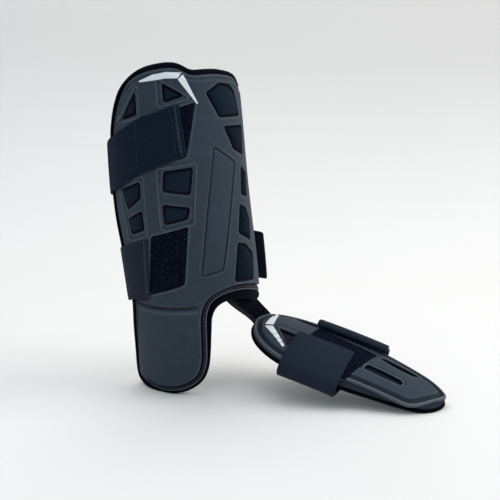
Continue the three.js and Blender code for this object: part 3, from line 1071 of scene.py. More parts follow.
GRAIN, WEAVE, PILE = "moulded_grain", "woven_threads", "loop_pile"
COVER = (("Warp", 1100.0), ("Weft", 1100.0))
ELASTIC = (("Warp", 640.0), ("Weft", 1300.0), ("Fray", 0.7))
FINISHES = (
    Finish(
        "moulded_skin", GRAIN, (0.0275, 0.0385, 0.0515), (0.0365, 0.0495, 0.065), (0.5, 0.62), bump=0.22,
        depth=0.00012, specular=0.07, edge_wear_highlight_and_dust=(0.25, 0.03),
    ),
    Finish(
        "toe_skin", GRAIN, (0.029, 0.04, 0.054), (0.039, 0.052, 0.068), (0.48, 0.6), bump=0.22, depth=0.00012,
        specular=0.08, edge_wear_highlight_and_dust=(0.3, 0.04),
    ),
    Finish(
        "liner_knit", PILE, (0.0012, 0.0022, 0.005), (0.006, 0.009, 0.015), (0.88, 0.96),
        settings=(("Scale", 1500.0),), bump=0.45, sheen=0.02, specular=0.03,
    ),
    Finish(
        "foam_edge", PILE, (0.02, 0.026, 0.036), (0.03, 0.038, 0.05), settings=(("Scale", 1200.0),),
        bump=0.35, specular=0.06,
    ),
    Finish(
        "pad_cloth", WEAVE, (0.005, 0.0095, 0.0185), (0.013, 0.025, 0.044), (0.8, 0.92), Reading.FLAT,
        COVER, bump=0.6, depth=0.00018, sheen=0.03, specular=0.05,
    ),
    # Painted shade: a darker copy of the pad cloth for the small inner pads.
    Finish(
        "shaded_pad_cloth", WEAVE, (0.0025, 0.0055, 0.0115), (0.008, 0.0155, 0.028), (0.8, 0.92), Reading.FLAT,
        COVER, bump=0.6, depth=0.00018, sheen=0.015, specular=0.04,
    ),
    Finish(
        "strap_web", WEAVE, (0.0042, 0.0092, 0.019), (0.011, 0.0235, 0.043), (0.82, 0.92), Reading.FLAT,
        ELASTIC, bump=0.7, depth=0.00026, sheen=0.03, specular=0.05,
    ),
    # Painted light: a lighter copy of the upper strap's webbing, for the lower strap, which catches more
    # light.
    Finish(
        "lit_lower_strap_web", WEAVE, (0.011, 0.016, 0.026), (0.023, 0.033, 0.05), (0.82, 0.92), Reading.FLAT,
        ELASTIC, bump=0.7, depth=0.00026, sheen=0.03, specular=0.06,
    ),
    Finish(
        "toe_strap_web", WEAVE, (0.011, 0.016, 0.027), (0.025, 0.035, 0.052), (0.82, 0.92), Reading.FLAT,
        (("Warp", 1000.0), ("Weft", 1000.0), ("Fray", 0.9)), bump=0.6, sheen=0.03, specular=0.06,
    ),
    Finish(
        "loop_face", PILE, (0.0012, 0.003, 0.0085), (0.021, 0.032, 0.055), (0.88, 0.98),
        settings=(("Scale", 800.0),), bump=1.0, depth=0.0006, specular=0.04,
    ),
    Finish("dark_thread", WEAVE, (0.06, 0.072, 0.086), (0.13, 0.15, 0.17), (0.6, 0.75), bump=0.1),
    Finish("strap_thread", WEAVE, (0.02, 0.03, 0.045), (0.06, 0.075, 0.1), (0.6, 0.75), bump=0.1),
    Finish(
        "bound_pile", PILE, (0.0006, 0.0014, 0.0046), (0.02, 0.022, 0.042), (0.88, 0.98),
        settings=(("Scale", 620.0),), bump=1.0, depth=0.0006, specular=0.04,
    ),
    Finish(
        "white_film", GRAIN, (0.7, 0.72, 0.735), (0.8, 0.82, 0.83), (0.42, 0.5), bump=0.08, depth=0.00005,
    ),
    Finish(
        "floor_paper", GRAIN, (0.88, 0.845, 0.8), (0.91, 0.88, 0.84), (0.75, 0.85),
        settings=(("Scale", 300.0), ("Mottle Scale", 3.0)), bump=0.02,
    ),
)


class Dresser:
    """Builds the finishes once and puts them on the pieces."""

    def __init__(self) -> None:
        """Build the groups and materials."""
        made = (grain_group(), weave_group(), pile_group(), wear_and_light_group())
        self.groups = {tree.name: tree for tree in made}
        self.materials = {finish.name: finish.make(self.groups) for finish in FINISHES}

    def dress(self, obj: bpy.types.Object, finish: str, slot: Slot, *nodes: str) -> bpy.types.Object:
        """Give a piece its finish and its body, and hide the nodes that it stands for.

        Args:
            obj: The piece.
            finish: Name of its finish.
            slot: Material slot of the record; not used.
            nodes: CAD nodes that it replaces.

        Returns:
            The piece.
        """
        obj.data.materials.clear()
        obj.data.materials.append(self.materials[finish])
        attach(obj, BODY)
        if nodes:
            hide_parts(*nodes)
        LOG.info("%s: %d faces, %s", obj.name, len(obj.data.polygons), finish)
        return obj


# The shin guard


GUARD_EDGE: Corners = (
    (-106, 0.1), (-110, 0.045), (-110, 0.011), (-105, -0.0045), (-96, -0.0105), (-81, -0.0115),
    (-68, -0.0085), (-60, -0.0055), (-53, 0.0005), (-47, 0.008), (-41, 0.019), (-35, 0.034), (-30, 0.055),
    (-26, 0.09),
    (-23.5, 0.14), (-21, 0.21), (-19, 0.254), (-15, 0.277), (-9, 0.287), (0, 0.286), (10, 0.276), (20, 0.26),
    (30, 0.24), (42, 0.216), (56, 0.197), (70, 0.186), (84, 0.183), (94, 0.192), (100, 0.213), (103, 0.25),
    (104, 0.314), (104, 0.42), (103, 0.55), (102, 0.68), (99, 0.79), (94, 0.845), (84, 0.866), (70, 0.879),
    (56, 0.893), (46, 0.909), (38, 0.931), (29, 0.946), (19, 0.957), (8, 0.967), (-6, 0.974), (-13, 0.976),
    (-18, 0.981), (-23, 0.991), (-29, 1.0), (-37, 1.004), (-47, 1.002), (-58, 0.995), (-68, 0.982),
    (-77, 0.963), (-85, 0.938), (-92, 0.903), (-98, 0.86), (-103, 0.81), (-106, 0.74), (-107, 0.65),
    (-106, 0.56), (-101.5, 0.47), (-97.5, 0.38), (-96, 0.296), (-101, 0.2),
)


@dataclass(frozen=True)
class Window:
    """A window in the shell with the pad that fills it."""

    name: str
    corners: Corners
    crown: float = 0.6
    fillet: float = 1.7
    fill: float = 0.7


WINDOWS = (
    Window("pad_top_outer", ((-83, 0.853), (-67, 0.871), (-67, 0.931)), 0.7, 1.5),
    Window("pad_top_front", ((-42, 0.903), (-25, 0.916), (-42, 0.954)), 0.7, 1.5),
    Window("pad_outer_upper", ((-83, 0.597), (-68, 0.638), (-68, 0.685), (-89, 0.652)), 0.4),
    Window("pad_outer_lower", ((-82, 0.522), (-68, 0.543), (-68, 0.6), (-84, 0.567)), 0.4),
    Window("pad_front_upper", ((-48, 0.661), (-26, 0.644), (-22.5, 0.72), (-46, 0.716)), 0.5),
    Window("pad_front_lower", ((-49, 0.563), (-30, 0.575), (-27.5, 0.607), (-49, 0.622)), 0.5),
    Window(
        "pad_inner_top",
        ((5, 0.84), (34, 0.819), (28, 0.895), (22, 0.916), (8, 0.93), (-6, 0.914)),
        2.2, 1.6, 0.9,
    ),
    Window("pad_inner_1", ((19, 0.738), (35, 0.703), (39, 0.787), (9, 0.811)), 1.2),
    Window("pad_inner_2", ((25, 0.597), (36, 0.575), (40, 0.643), (29, 0.677)), 1.0),
    Window("pad_inner_3", ((15, 0.489), (32, 0.44), (36, 0.5), (30, 0.548), (21, 0.571)), 1.4),
    Window("pad_inner_4", ((4, 0.345), (30, 0.312), (34, 0.395), (21, 0.446), (12, 0.46)), 1.6),
)
FRAMES: tuple[Corners, ...] = (
    ((-84, 0.502), (-65, 0.528), (-64, 0.702), (-91, 0.665)),
    ((-51, 0.548), (-26, 0.56), (-20, 0.729), (-51, 0.724)),
)
BEVELS: tuple[Corners, ...] = (
    ((-87, 0.845), (-64.3, 0.866), (-64.3, 0.947)),
    ((-46.5, 0.894), (-21.5, 0.909), (-46.5, 0.966)),
)
PATCHES: dict[str, Corners] = {
    "upper_patch": ((-63, 0.74), (-27, 0.75), (-16, 0.896), (-63, 0.868)),
    "lower_patch": ((-71, 0.337), (-39, 0.374), (-30, 0.556), (-62, 0.528)),
}
PANEL: Corners = ((-25, 0.395), (-6, 0.397), (19.5, 0.7), (-3, 0.764))
MARKS: dict[str, Corners] = {
    "mark_outer": ((-62, 367), (-50, 373), (-38, 375), (-25, 373), (-29, 368), (-39, 369), (-61, 366)),
    "mark_inner": ((-24, 371), (-29, 367), (-15, 340), (-14, 340)),
}


@dataclass
class ShinShell:
    """The moulded skin: rim, windows, frames, recesses, panel line and crease."""

    form: LegForm
    dresser: Dresser
    stitched_rim: Table = Table(
        ((0, -2.6), (0.4, -1.5), (0.9, -1.1), (1.6, -1.2), (2.0, -2.0), (2.4, -2.6), (4.6, -2.6), (5.0, -3.3),
         (6.6, -3.3), (7.1, -1.5), (7.6, -0.2), (8.4, 0.1), (9.8, 0))
    )
    plain_rim: Table = Table(
        ((0, -2.4), (0.6, -1.5), (1.4, -1.0), (2.6, -0.95), (3.4, -1.3), (4.0, -1.55), (4.8, -1.0),
         (5.6, -0.3), (6.4, 0), (9, 0))
    )
    crease: tuple[float, float, float] = (-92, -33, 113.4)
    crease_line: Table = Table(
        ((-11, 0), (-8.5, 0.12), (-6, 0.8), (-4.4, 0.75), (-2.6, 0.1), (-1.6, -0.7), (-0.6, -1.5),
         (0.6, -1.5), (1.6, -0.5), (2.6, 0), (5, 0))
    )
    pocket: Table = Table(
        ((-3, -1), (-1.2, -1), (-0.5, -0.75), (0, -0.2), (0.5, 0.12), (1.2, 0.2), (2.2, 0.14), (3.4, 0),
         (5, 0))
    )
    groove: Table = Table(
        ((-4, -0.35), (-1.6, -0.4), (-0.9, -0.9), (-0.4, -1.2), (0.3, -1.2), (0.8, -0.7), (1.3, 0),
         (2, 0.05), (3.5, 0))
    )

    def __post_init__(self) -> None:
        """Cut the flat outlines."""
        self.edge = flowing(self.form.flat(GUARD_EDGE), 2.2)
        self.outline = inset(self.edge, self.margins(self.edge), 2.2)
        self.windows = [rounded(self.form.flat(w.corners), 3.2, 1.5) for w in WINDOWS]
        self.frames = [rounded(self.form.flat(corners), 4.0, 2.0) for corners in FRAMES]
        self.bevels = [rounded(self.form.flat(corners), 3.0, 2.0) for corners in BEVELS]
        self.pockets = {name: rounded(self.form.flat(c), 4.0, 2.0) for name, c in PATCHES.items()}
        self.panel = rounded(self.form.flat(PANEL), 3.0, 1.6)

    def margins(self, loop: np.ndarray) -> np.ndarray:
        """How much liner shows past the skin, more over the instep arch.

        Args:
            loop: Places in the flat pattern.

        Returns:
            The margin at each place.
        """
        angle, share = loop[:, 0] / self.form.arc, loop[:, 1] / self.form.height
        arch = np.clip((angle + 24) / 10, 0, 1) * np.clip((78 - angle) / 16, 0, 1)
        low = np.clip((0.42 - share) / 0.06, 0, 1)
        return 4.4 + 7.2 * arch * low + 2.2 * self.outer(loop) + 0.5 * np.clip((share - 0.85) / 0.05, 0, 1)

    def outer(self, points: np.ndarray) -> np.ndarray:
        """1 along the guard's outer long edge, 0 away from it."""
        return np.clip((-74 - points[:, 0] / self.form.arc) / 14, 0, 1)

    def stitched(self, points: np.ndarray) -> np.ndarray:
        """Where the rim has its deep stitched groove: round the flap and over the arch.

        Args:
            points: Places in the flat pattern.

        Returns:
            1 there, 0 where the rim is plain.
        """
        angle, share = points[:, 0] / self.form.arc, points[:, 1] / self.form.height
        return np.clip((angle + 96) / 8, 0, 1) * np.clip((0.4 - share) / 0.08, 0, 1)

    def relief(self, points: np.ndarray) -> np.ndarray:
        """Rise of the skin's face.

        Args:
            points: Places in the flat pattern.

        Returns:
            The rise at each.
        """
        d, deep = edge_distance(points, self.outline), self.stitched(points)
        rise = self.stitched_rim(d) * deep + self.plain_rim(d) * (1 - deep)
        for window, loop in zip(WINDOWS, self.windows):
            away = np.maximum(signed(points, loop), 0) / window.fillet
            rise = rise - 1.5 * np.clip(1 - away, 0, 1) ** 2
        for loops, depth in ((self.frames, 1.2), (self.bevels, 1.0), (self.pockets.values(), 1.6)):
            for loop in loops:
                rise = rise + self.pocket(signed(points, loop)) * depth
        rise = rise + self.groove(signed(points, self.panel))
        low, high, height = self.crease
        angle = points[:, 0] / self.form.arc
        ends = np.clip((angle - low) / 6, 0, 1) * np.clip((high - angle) / 5, 0, 1)
        return rise + self.crease_line(points[:, 1] - height) * ends

    def by_crease(self, points: np.ndarray, low: float, high: float, soft: float) -> np.ndarray:
        """Mask of a band along the crease, between two heights over it."""
        start, end, height = self.crease
        along = between(points[:, 0] / self.form.arc, start, end, 4)
        return between(points[:, 1] - height, low, high, soft) * along

    def seam(self, points: np.ndarray) -> np.ndarray:
        """Mask of the black stitched groove behind the rim, its own dark colour deepened with painted shade,
        and of painted shade in the narrow dark lines and under the straps.

        Args:
            points: Places in the flat pattern.

        Returns:
            How black the skin is at each.
        """
        d, deep = edge_distance(points, self.outline), self.stitched(points)
        # Painted shade on the groove's floor; the stitched band is its own dark colour plus painted shade.
        floor = 0.55 * between(d, 2.2, 4.8, 0.4) + 0.35 * between(d, 1.8, 2.4, 0.3)
        groove = np.maximum(between(d, 4.7, 7.2, 0.4), floor) * deep
        # Painted shade along the panel's groove, the crease, round the windows and under the straps.
        made = [groove, 0.6 * between(signed(points, self.panel), -0.7, 0.7, 0.5)]
        made.append(0.6 * self.by_crease(points, -1.0, 1.0, 0.7))
        made += [0.9 * between(signed(points, loop), -1, 0.4, 0.5) for loop in self.windows]
        made += [0.75 * course.shade(points) for course in (UPPER_COURSE, LOWER_COURSE)]
        return np.maximum.reduce(made)

    def lit(self, points: np.ndarray) -> np.ndarray:
        """Mask of painted highlight on the ridges: rims, borders of the frames and edges of the windows.

        Args:
            points: Places in the flat pattern.

        Returns:
            How pale the skin is at each.
        """
        d, deep = edge_distance(points, self.outline), self.stitched(points)
        rim = 0.4 * between(d, 7.6, 8.4, 0.5) * deep + between(d, 0.3, 1.7, 0.4)
        rim = np.maximum(rim, between(d, 5.2, 6.4, 0.5) * (1 - deep) * 0.5)
        made = [rim * 0.8, between(signed(points, self.panel), 0.9, 1.7, 0.4) * 0.45]
        made += [between(signed(points, loop), 0.9, 1.7, 0.5) * 0.5 for loop in self.windows]
        framed = [*self.frames, *self.bevels, *self.pockets.values()]
        made += [between(signed(points, loop), 0.3, 1.9, 0.5) * 0.8 for loop in framed]
        made.append(self.by_crease(points, -6.4, -4.4, 0.8) * 0.5)
        return np.maximum.reduce(made)

    def build(self) -> bpy.types.Object:
        """Build and dress the skin.

        Returns:
            The skin.
        """
        steps = (0.4, 0.9, 1.6, 2.0, 2.4, 3.6, 4.6, 5.0, 6.6, 7.1, 7.6, 8.4)
        lines = [inset(self.outline, d, 2.2) for d in steps]
        for loop in self.windows:
            lines += [inset(loop, -d, 1.8) for d in (0.4, 0.9, 1.6)]
        for loop in [*self.frames, *self.pockets.values(), *self.bevels]:
            lines += [loop] + [inset(loop, d, 2.2) for d in (1.2, 0.5, -0.5, -1.2, -2.4)]
        lines += [self.panel] + [inset(self.panel, d, 1.8) for d in (1.6, 0.8, -0.8, -1.4)]
        shell = Sheet(
            "shin_skin", self.outline, self.form, self.relief, even(SHELL_BACK), self.windows,
            lines, 1.7, 7.0, masks={"Seam": self.seam, "Lit": self.lit},
        ).build()
        return self.dresser.dress(shell, "moulded_skin", Slot.SHELL, "guard_shell")

    def stitches(self) -> None:
        """Sew the deep groove behind the rim."""
        line = inset(self.outline, 3.5, 1.0)
        line = line[self.stitched(line) > 0.5]
        breaks = np.nonzero(np.linalg.norm(np.diff(line, axis=0), axis=1) > 6)[0] + 1
        for i, run in enumerate(np.split(line, breaks)):
            if len(run) > 8:
                seam = stitch_row(f"rim_stitches_{i}", run, self.form, -2.0, 4.2, (2.2, 0.8))
                self.dresser.dress(seam, "dark_thread", Slot.SHELL)

    def marks(self) -> None:
        """Put on the two thin white accents."""
        for name, corners in MARKS.items():
            loop = rounded([(angle * self.form.arc, height) for angle, height in corners], 0.8, 1.0)
            self.dresser.dress(film(name, loop, self.form, self.relief), "white_film", Slot.SHELL)


@dataclass
class Liner:
    """The foam liner under the skin, with its bound edge."""

    shell: ShinShell
    dresser: Dresser
    front: Table = Table(
        ((0, -5.6), (0.08, -3.4), (0.22, -1.9), (0.45, -1.0), (0.66, -1.0), (0.84, -1.9), (0.96, -4.2),
         (1.15, -5.4), (2, -5.4))
    )
    back: Table = Table(
        ((0, -5.6), (0.4, -8.2), (1.0, -10.4), (2.0, -12.3), (3.6, -13.4), (6, -13.4))
    )

    def bulge(self, points: np.ndarray) -> np.ndarray:
        """Rise of the front face: a soft roll past the skin, flat under it.

        Args:
            points: Places in the flat pattern.

        Returns:
            The rise at each.
        """
        share = edge_distance(points, self.shell.edge) / self.shell.margins(points)
        rolled = 2.0 * self.shell.outer(points) * np.sin(math.pi * np.clip(share, 0, 1)) ** 0.6
        return self.front(share) + rolled

    def build(self) -> bpy.types.Object:
        """Build and dress the liner.

        Returns:
            The liner.
        """
        edge, margin = self.shell.edge, self.shell.margins(self.shell.edge)
        liner = Sheet(
            "foam_liner", edge, self.shell.form, self.bulge, edged(0, edge, self.back),
            lines=[inset(edge, margin * t, 2.0) for t in (0.08, 0.22, 0.45, 0.66, 0.84, 0.96, 1.15)],
            pitch=6.0, back_pitch=5.0, back_lines=[inset(edge, d, 3.0) for d in (0.5, 1.4, 3.2)],
        ).build()
        return self.dresser.dress(liner, "liner_knit", Slot.LINER, "guard_liner")


@dataclass
class WindowPads:
    """The fabric pads that bulge in the shell's windows."""

    shell: ShinShell
    dresser: Dresser
    swell: Table = Table(
        ((0, -4.6), (0.5, -3.5), (1.2, -2.5), (2.2, -1.5), (3.6, -0.8), (5.5, -0.3), (8, -0.05), (10, 0.0),
         (16, 0.0))
    )

    @staticmethod
    def sunk(edge: np.ndarray) -> Level:
        """Mask of the shade along a pad's seam."""
        return lambda p: 0.9 * np.clip((2.4 - edge_distance(p, edge)) / 1.7, 0, 1)

    def dome(self, edge: np.ndarray, crown: float) -> Level:
        """Face of a pad: sunk at its seam and crowned in its middle.

        Args:
            edge: Outline of the pad.
            crown: How far its middle stands out.

        Returns:
            The rise of the face.
        """
        reach = edge_distance(grid_points(edge, [], [edge], 1.5), edge).max()

        def rise(points: np.ndarray) -> np.ndarray:
            d = edge_distance(points, edge)
            return self.swell(d) + crown * np.sin(np.clip(d / reach, 0, 1) * math.pi / 2)

        return rise

    def build(self) -> None:
        """Build and dress each pad."""
        for window, loop in zip(WINDOWS, self.shell.windows):
            edge = inset(loop, 0.6, 1.5)
            pad = Sheet(
                f"cover_{window.name}", edge, self.shell.form, self.dome(edge, window.crown),
                even(SHELL_BACK),
                lines=[inset(edge, d, 1.6) for d in (0.5, 1.2, 2.2)], pitch=1.5, back_pitch=4.0,
                masks={"Seam": self.sunk(edge)},
            ).build()
            # The small inner pads take the darker copy of the cloth, painted shade.
            cloth = "shaded_pad_cloth" if "inner_" in window.name and "top" not in window.name else "pad_cloth"
            self.dresser.dress(pad, cloth, Slot.PAD, window.name)


@dataclass
class Patches:
    """Loop faces in the shell's recesses."""

    shell: ShinShell
    dresser: Dresser

    def build(self) -> None:
        """Build and dress both faces."""
        for name, loop in self.shell.pockets.items():
            edge = inset(loop, 0.6, 1.2)
            patch = Sheet(
                f"face_{name}", edge, self.shell.form, lambda p, edge=edge: pile_level(p, edge),
                even(PATCH_BACK), pitch=0.8, back_pitch=4.0,
            ).build()
            self.dresser.dress(patch, "loop_face", Slot.PATCH, name)


def pile_level(points: np.ndarray, edge: np.ndarray) -> np.ndarray:
    """Uneven face of a loop pile.

    Args:
        points: Places in the flat pattern.
        edge: The patch's outline.

    Returns:
        The rise at each.
    """
    d = edge_distance(points, edge)
    uneven = np.random.default_rng(len(points)).normal(0, 0.13, len(points))
    return -0.6 + 0.9 * np.clip(d / 1.2, 0, 1) ** 0.5 + uneven * np.clip(d, 0, 1)


# Straps


@dataclass(frozen=True)
class StrapCourse:
    """A strap's course round the leg, as rows of girth, height, breadth, lead and lift."""

    name: str
    rows: tuple[tuple[float, float, float, float, float], ...]
    width: float
    length: float
    stand: float = 2.3
    lift_size: float = 14.0
    form: LegForm = LegForm()

    def shade(self, points: np.ndarray) -> np.ndarray:
        """Mask of the contact shade that the strap's lower edge leaves on the skin.

        Args:
            points: Places in the skin's flat pattern.

        Returns:
            How dark the skin is at each.
        """
        front, _, _, lead, _ = self.rows[0]
        angle = points[:, 0] / self.form.arc
        height, breadth = (self._column(k)(np.clip(angle, -110, front)) for k in (1, 2))
        under = height * self.form.height - 0.5 * self.width * breadth - points[:, 1]
        return between(under, -2.0, 1.6, 2.4) * between(angle, -115, front + lead - 3, 2)

    def _column(self, k: int) -> Table:
        """A column of the rows, as a curve over the girth."""
        return Table([(row[0], row[k]) for row in self.rows])

    def __call__(self, x: np.ndarray, y: np.ndarray, rise: np.ndarray) -> np.ndarray:
        """Points of the strap's flat pattern on its course.

        Args:
            x: Distance from the end on the front.
            y: Distance down from the upper edge.
            rise: Distance outside the strap's middle.

        Returns:
            Points in the part's frame.
        """
        keys = [row[0] for row in self.rows]
        station = keys[0] + x / self.length * (keys[-1] - keys[0])
        height, breadth, lead, lift = (self._column(k)(station) for k in (1, 2, 3, 4))
        across = y / self.width
        level = height * self.form.height + (0.5 - across) * self.width * breadth
        return self.form.girth(station + across * lead, level, self.stand + lift * self.lift_size + rise)


UPPER_COURSE = StrapCourse(
    "upper_strap",
    (
        (-30, 0.829, 1, 3, 0), (-62, 0.792, 1.06, 0, 0), (-80, 0.757, 1.08, 0, 0),
        (-100, 0.717, 1.12, 0, -0.05), (-130, 0.68, 1.06, 0, -0.1), (-180, 0.665, 1, 0, 0),
        (-230, 0.672, 1, 0, 0), (-258, 0.68, 1, 0, 0), (-284, 0.688, 1, 0, 0),
    ),
    53.0,
    330.0,
)
LOWER_COURSE = StrapCourse(
    "lower_strap",
    (
        (-64, 0.428, 1.06, -5, 0), (-84, 0.402, 1.02, -2, 0), (-99, 0.379, 1, 0, -0.1),
        (-112, 0.36, 1, 0, -0.36), (-130, 0.342, 1, 0, -0.42), (-150, 0.331, 1, 0, -0.25),
        (-180, 0.32, 1, 0, 0), (-230, 0.312, 1, 0, 0), (-258, 0.31, 1, 0, 0), (-276, 0.31, 0.98, 0, 0.2),
        (-288, 0.31, 0.96, 0, 1),
    ),
    67.0,
    292.0,
)


def band_outline(length: float, width: float, radius: float = 2.5) -> np.ndarray:
    """Outline of a flat band with softened corners."""
    return rounded(((0, 0), (length, 0), (length, width), (0, width)), radius, 2.0)


def across_band(width: float, x: float) -> np.ndarray:
    """A line across a band, clear of its edges."""
    return np.array([(x, y) for y in np.arange(3.0, width - 3.0, 0.8)])


@dataclass
class Straps:
    """The two elastic straps, with their hems and stitches."""

    dresser: Dresser
    hem: Table = Table(
        ((0, -1.3), (0.4, -0.5), (1.0, -0.05), (2.4, 0), (2.9, -0.35), (3.4, -0.4), (3.9, -0.05), (5, 0))
    )

    def build(self) -> None:
        """Build and dress both straps."""
        for course in (UPPER_COURSE, LOWER_COURSE):
            edge = band_outline(course.length, course.width)
            strap = Sheet(
                f"web_{course.name}", edge, course, edged(1.2, edge, self.hem), eased(-1.3, edge, 1.0),
                lines=[inset(edge, d, 2.2) for d in (0.5, 1.2, 2.4, 3.0, 3.5, 4.2)], pitch=2.6,
                back_pitch=3.6, back_lines=[inset(edge, 1.1, 2.6)],
                # Painted highlight along the folded end's hem, painted shade behind it.
                masks={"Seam": self.fold, "Lit": lambda p: 0.6 * between(p[:, 0], 3.8, 4.8, 0.5)},
            ).build()
            # The lower strap takes the lighter copy of the webbing, painted light.
            finish = "strap_web" if course is UPPER_COURSE else "lit_lower_strap_web"
            self.dresser.dress(strap, finish, Slot.STRAP, course.name)
        for i, x in enumerate((4.8, 9.2, 47.0)):
            self._sew(f"upper_strap_stitches_{i}", UPPER_COURSE, x)
        self._sew("lower_strap_stitches", LOWER_COURSE, 8.2)

    def fold(self, points: np.ndarray) -> np.ndarray:
        """Mask of the shaded step behind the folded end."""
        return 0.7 * between(points[:, 0], 5.6, 6.6, 0.6)

    def _sew(self, name: str, course: StrapCourse, x: float) -> None:
        """Sew a line of stitches across a strap."""
        seam = stitch_row(name, across_band(course.width, x), course, 1.3, STITCH_STEP, (2.0, 0.55))
        self.dresser.dress(seam, "strap_thread", Slot.STRAP)


# The toe guard


TOE_EDGE: Corners = (
    (0, 0.2), (0.012, -0.1), (0.05, -0.38), (0.12, -0.6), (0.22, -0.75), (0.34, -0.8), (0.5, -0.79),
    (0.64, -0.73), (0.78, -0.63), (0.88, -0.52), (0.95, -0.36), (0.99, -0.12), (1.0, 0.12), (0.975, 0.3),
    (0.915, 0.46),
    (0.81, 0.59), (0.69, 0.71), (0.54, 0.87), (0.4, 1.0), (0.27, 1.03), (0.135, 0.92), (0.045, 0.65),
)
TOE_PLATE: Corners = (
    (0, 11), (3, -5.6), (12, -21.3), (28.6, -33.6), (52, -42), (80, -43.5), (112, -41), (134, -37.5),
    (160, -36.3), (188, -36), (203, -35), (211, -31), (218, -24.5), (227, -13), (236, 0), (238.5, 8),
    (231, 16.5), (215, 26), (191, 33), (162, 40), (129, 48.5), (95, 56.5), (63, 58), (33, 51), (11, 36.4),
)
TOE_SLOTS: tuple[Corners, ...] = (
    ((143.5, -12.6), (145.3, -3.6), (166, -3.9), (186.5, -5.2), (189.6, -9), (187.8, -13.2), (166, -13.9)),
    ((154.5, 18.4), (158, 22.6), (181, 20.6), (203, 17.2), (196, 12.4), (176, 13)),
    ((32.6, 1.4), (60, -0.5), (57, -26)),
    ((36.5, 42.6), (52, 45.2), (72, 45.4), (73.5, 38.6), (59, 35.6), (46, 38)),
)
TOE_GROOVES: tuple[Corners, ...] = (
    ((140.2, -13), (140.4, -5), (142, -1), (146, 0.8), (166, 0.4), (186, -0.3), (191, -3), (193.4, -10)),
    ((60, 7.8), (43, 8.7), (29.5, 8.6), (26.8, 4.4), (38, -8.6), (53, -23.5)),
)
TOE_PATCH: Corners = ((0.26, -0.62), (0.55, -0.7), (0.63, 0.42), (0.3, 0.6))
TOE_MARKS: dict[str, Corners] = {
    "toe_mark_far": ((14.6, 0.2), (23.6, 4.4), (18.6, 38.6), (14.4, 37)),
    "toe_mark_near_0": ((15.8, -3.2), (24, 1.4), (35.2, -9.8), (29.6, -13.2)),
    "toe_mark_near_1": ((30.2, -13.6), (35.8, -10.4), (41.2, -15.8), (36.8, -18.6)),
    "toe_mark_near_2": ((37.4, -19), (41.8, -16.4), (46.2, -20.8), (43, -23.4)),
    "toe_mark_near_3": ((43.6, -23.8), (46.8, -21.4), (50.8, -25.3), (49.4, -28)),
}
# Across, level, start and end of each station of the toe strap, as shares.
TOE_LOOP = (
    (0.08, 1, 0.235, 0.53), (-0.35, 1, 0.235, 0.53), (-0.66, 1, 0.235, 0.53), (-0.9, 0.78, 0.235, 0.53),
    (-1.01, 0, 0.235, 0.53), (-0.99, -0.92, 0.235, 0.53), (-0.82, -1.2, 0.24, 0.54),
    (-0.4, -1.07, 0.25, 0.56), (0.1, -1.06, 0.26, 0.59), (0.6, -1.07, 0.28, 0.62),
    (0.92, -1.18, 0.29, 0.64), (1.09, -0.9, 0.29, 0.65),
    (1.12, 0, 0.29, 0.66), (1.04, 0.78, 0.29, 0.66), (0.84, 1.05, 0.29, 0.66), (0.68, 1.12, 0.29, 0.66),
    (0.57, 1.4, 0.29, 0.66), (0.6, 1.72, 0.29, 0.66), (0.7, 1.82, 0.29, 0.66),
)


@dataclass(frozen=True)
class ToeLoop:
    """Course of the toe guard's strap, over the shell and round its underside."""

    form: ToeForm
    length: float = 330.0
    width: float = 72.0
    over: float = 2.5
    under: float = -14.5

    def __call__(self, x: np.ndarray, y: np.ndarray, rise: np.ndarray) -> np.ndarray:
        """Points of the strap's flat pattern on its course.

        Args:
            x: Distance from the strap's first end.
            y: Distance across, toward the tip.
            rise: Distance outside the strap's middle.

        Returns:
            Points in the part's frame.
        """
        middle, half = (self.over + self.under) / 2, (self.over - self.under) / 2
        course = [(across * self.form.half_width, middle + level * half) for across, level, _, _ in TOE_LOOP]
        ends = [(start * self.form.length, end * self.form.length) for _, _, start, end in TOE_LOOP]
        shares = np.linspace(0, 1, 361)
        line, reach = Thread(course).sampled(shares), Thread(ends).sampled(shares)
        heading = np.gradient(line, axis=0)
        heading /= np.linalg.norm(heading, axis=1)[:, None]
        share = np.clip(x / self.length, 0, 1)
        at = [np.interp(share, shares, line[:, k]) for k in (0, 1)]
        way = [np.interp(share, shares, heading[:, k]) for k in (0, 1)]
        start, end = (np.interp(share, shares, reach[:, k]) for k in (0, 1))
        place = start + (end - start) * y / self.width
        return self.form(place, at[0] + way[1] * rise, at[1] - way[0] * rise)


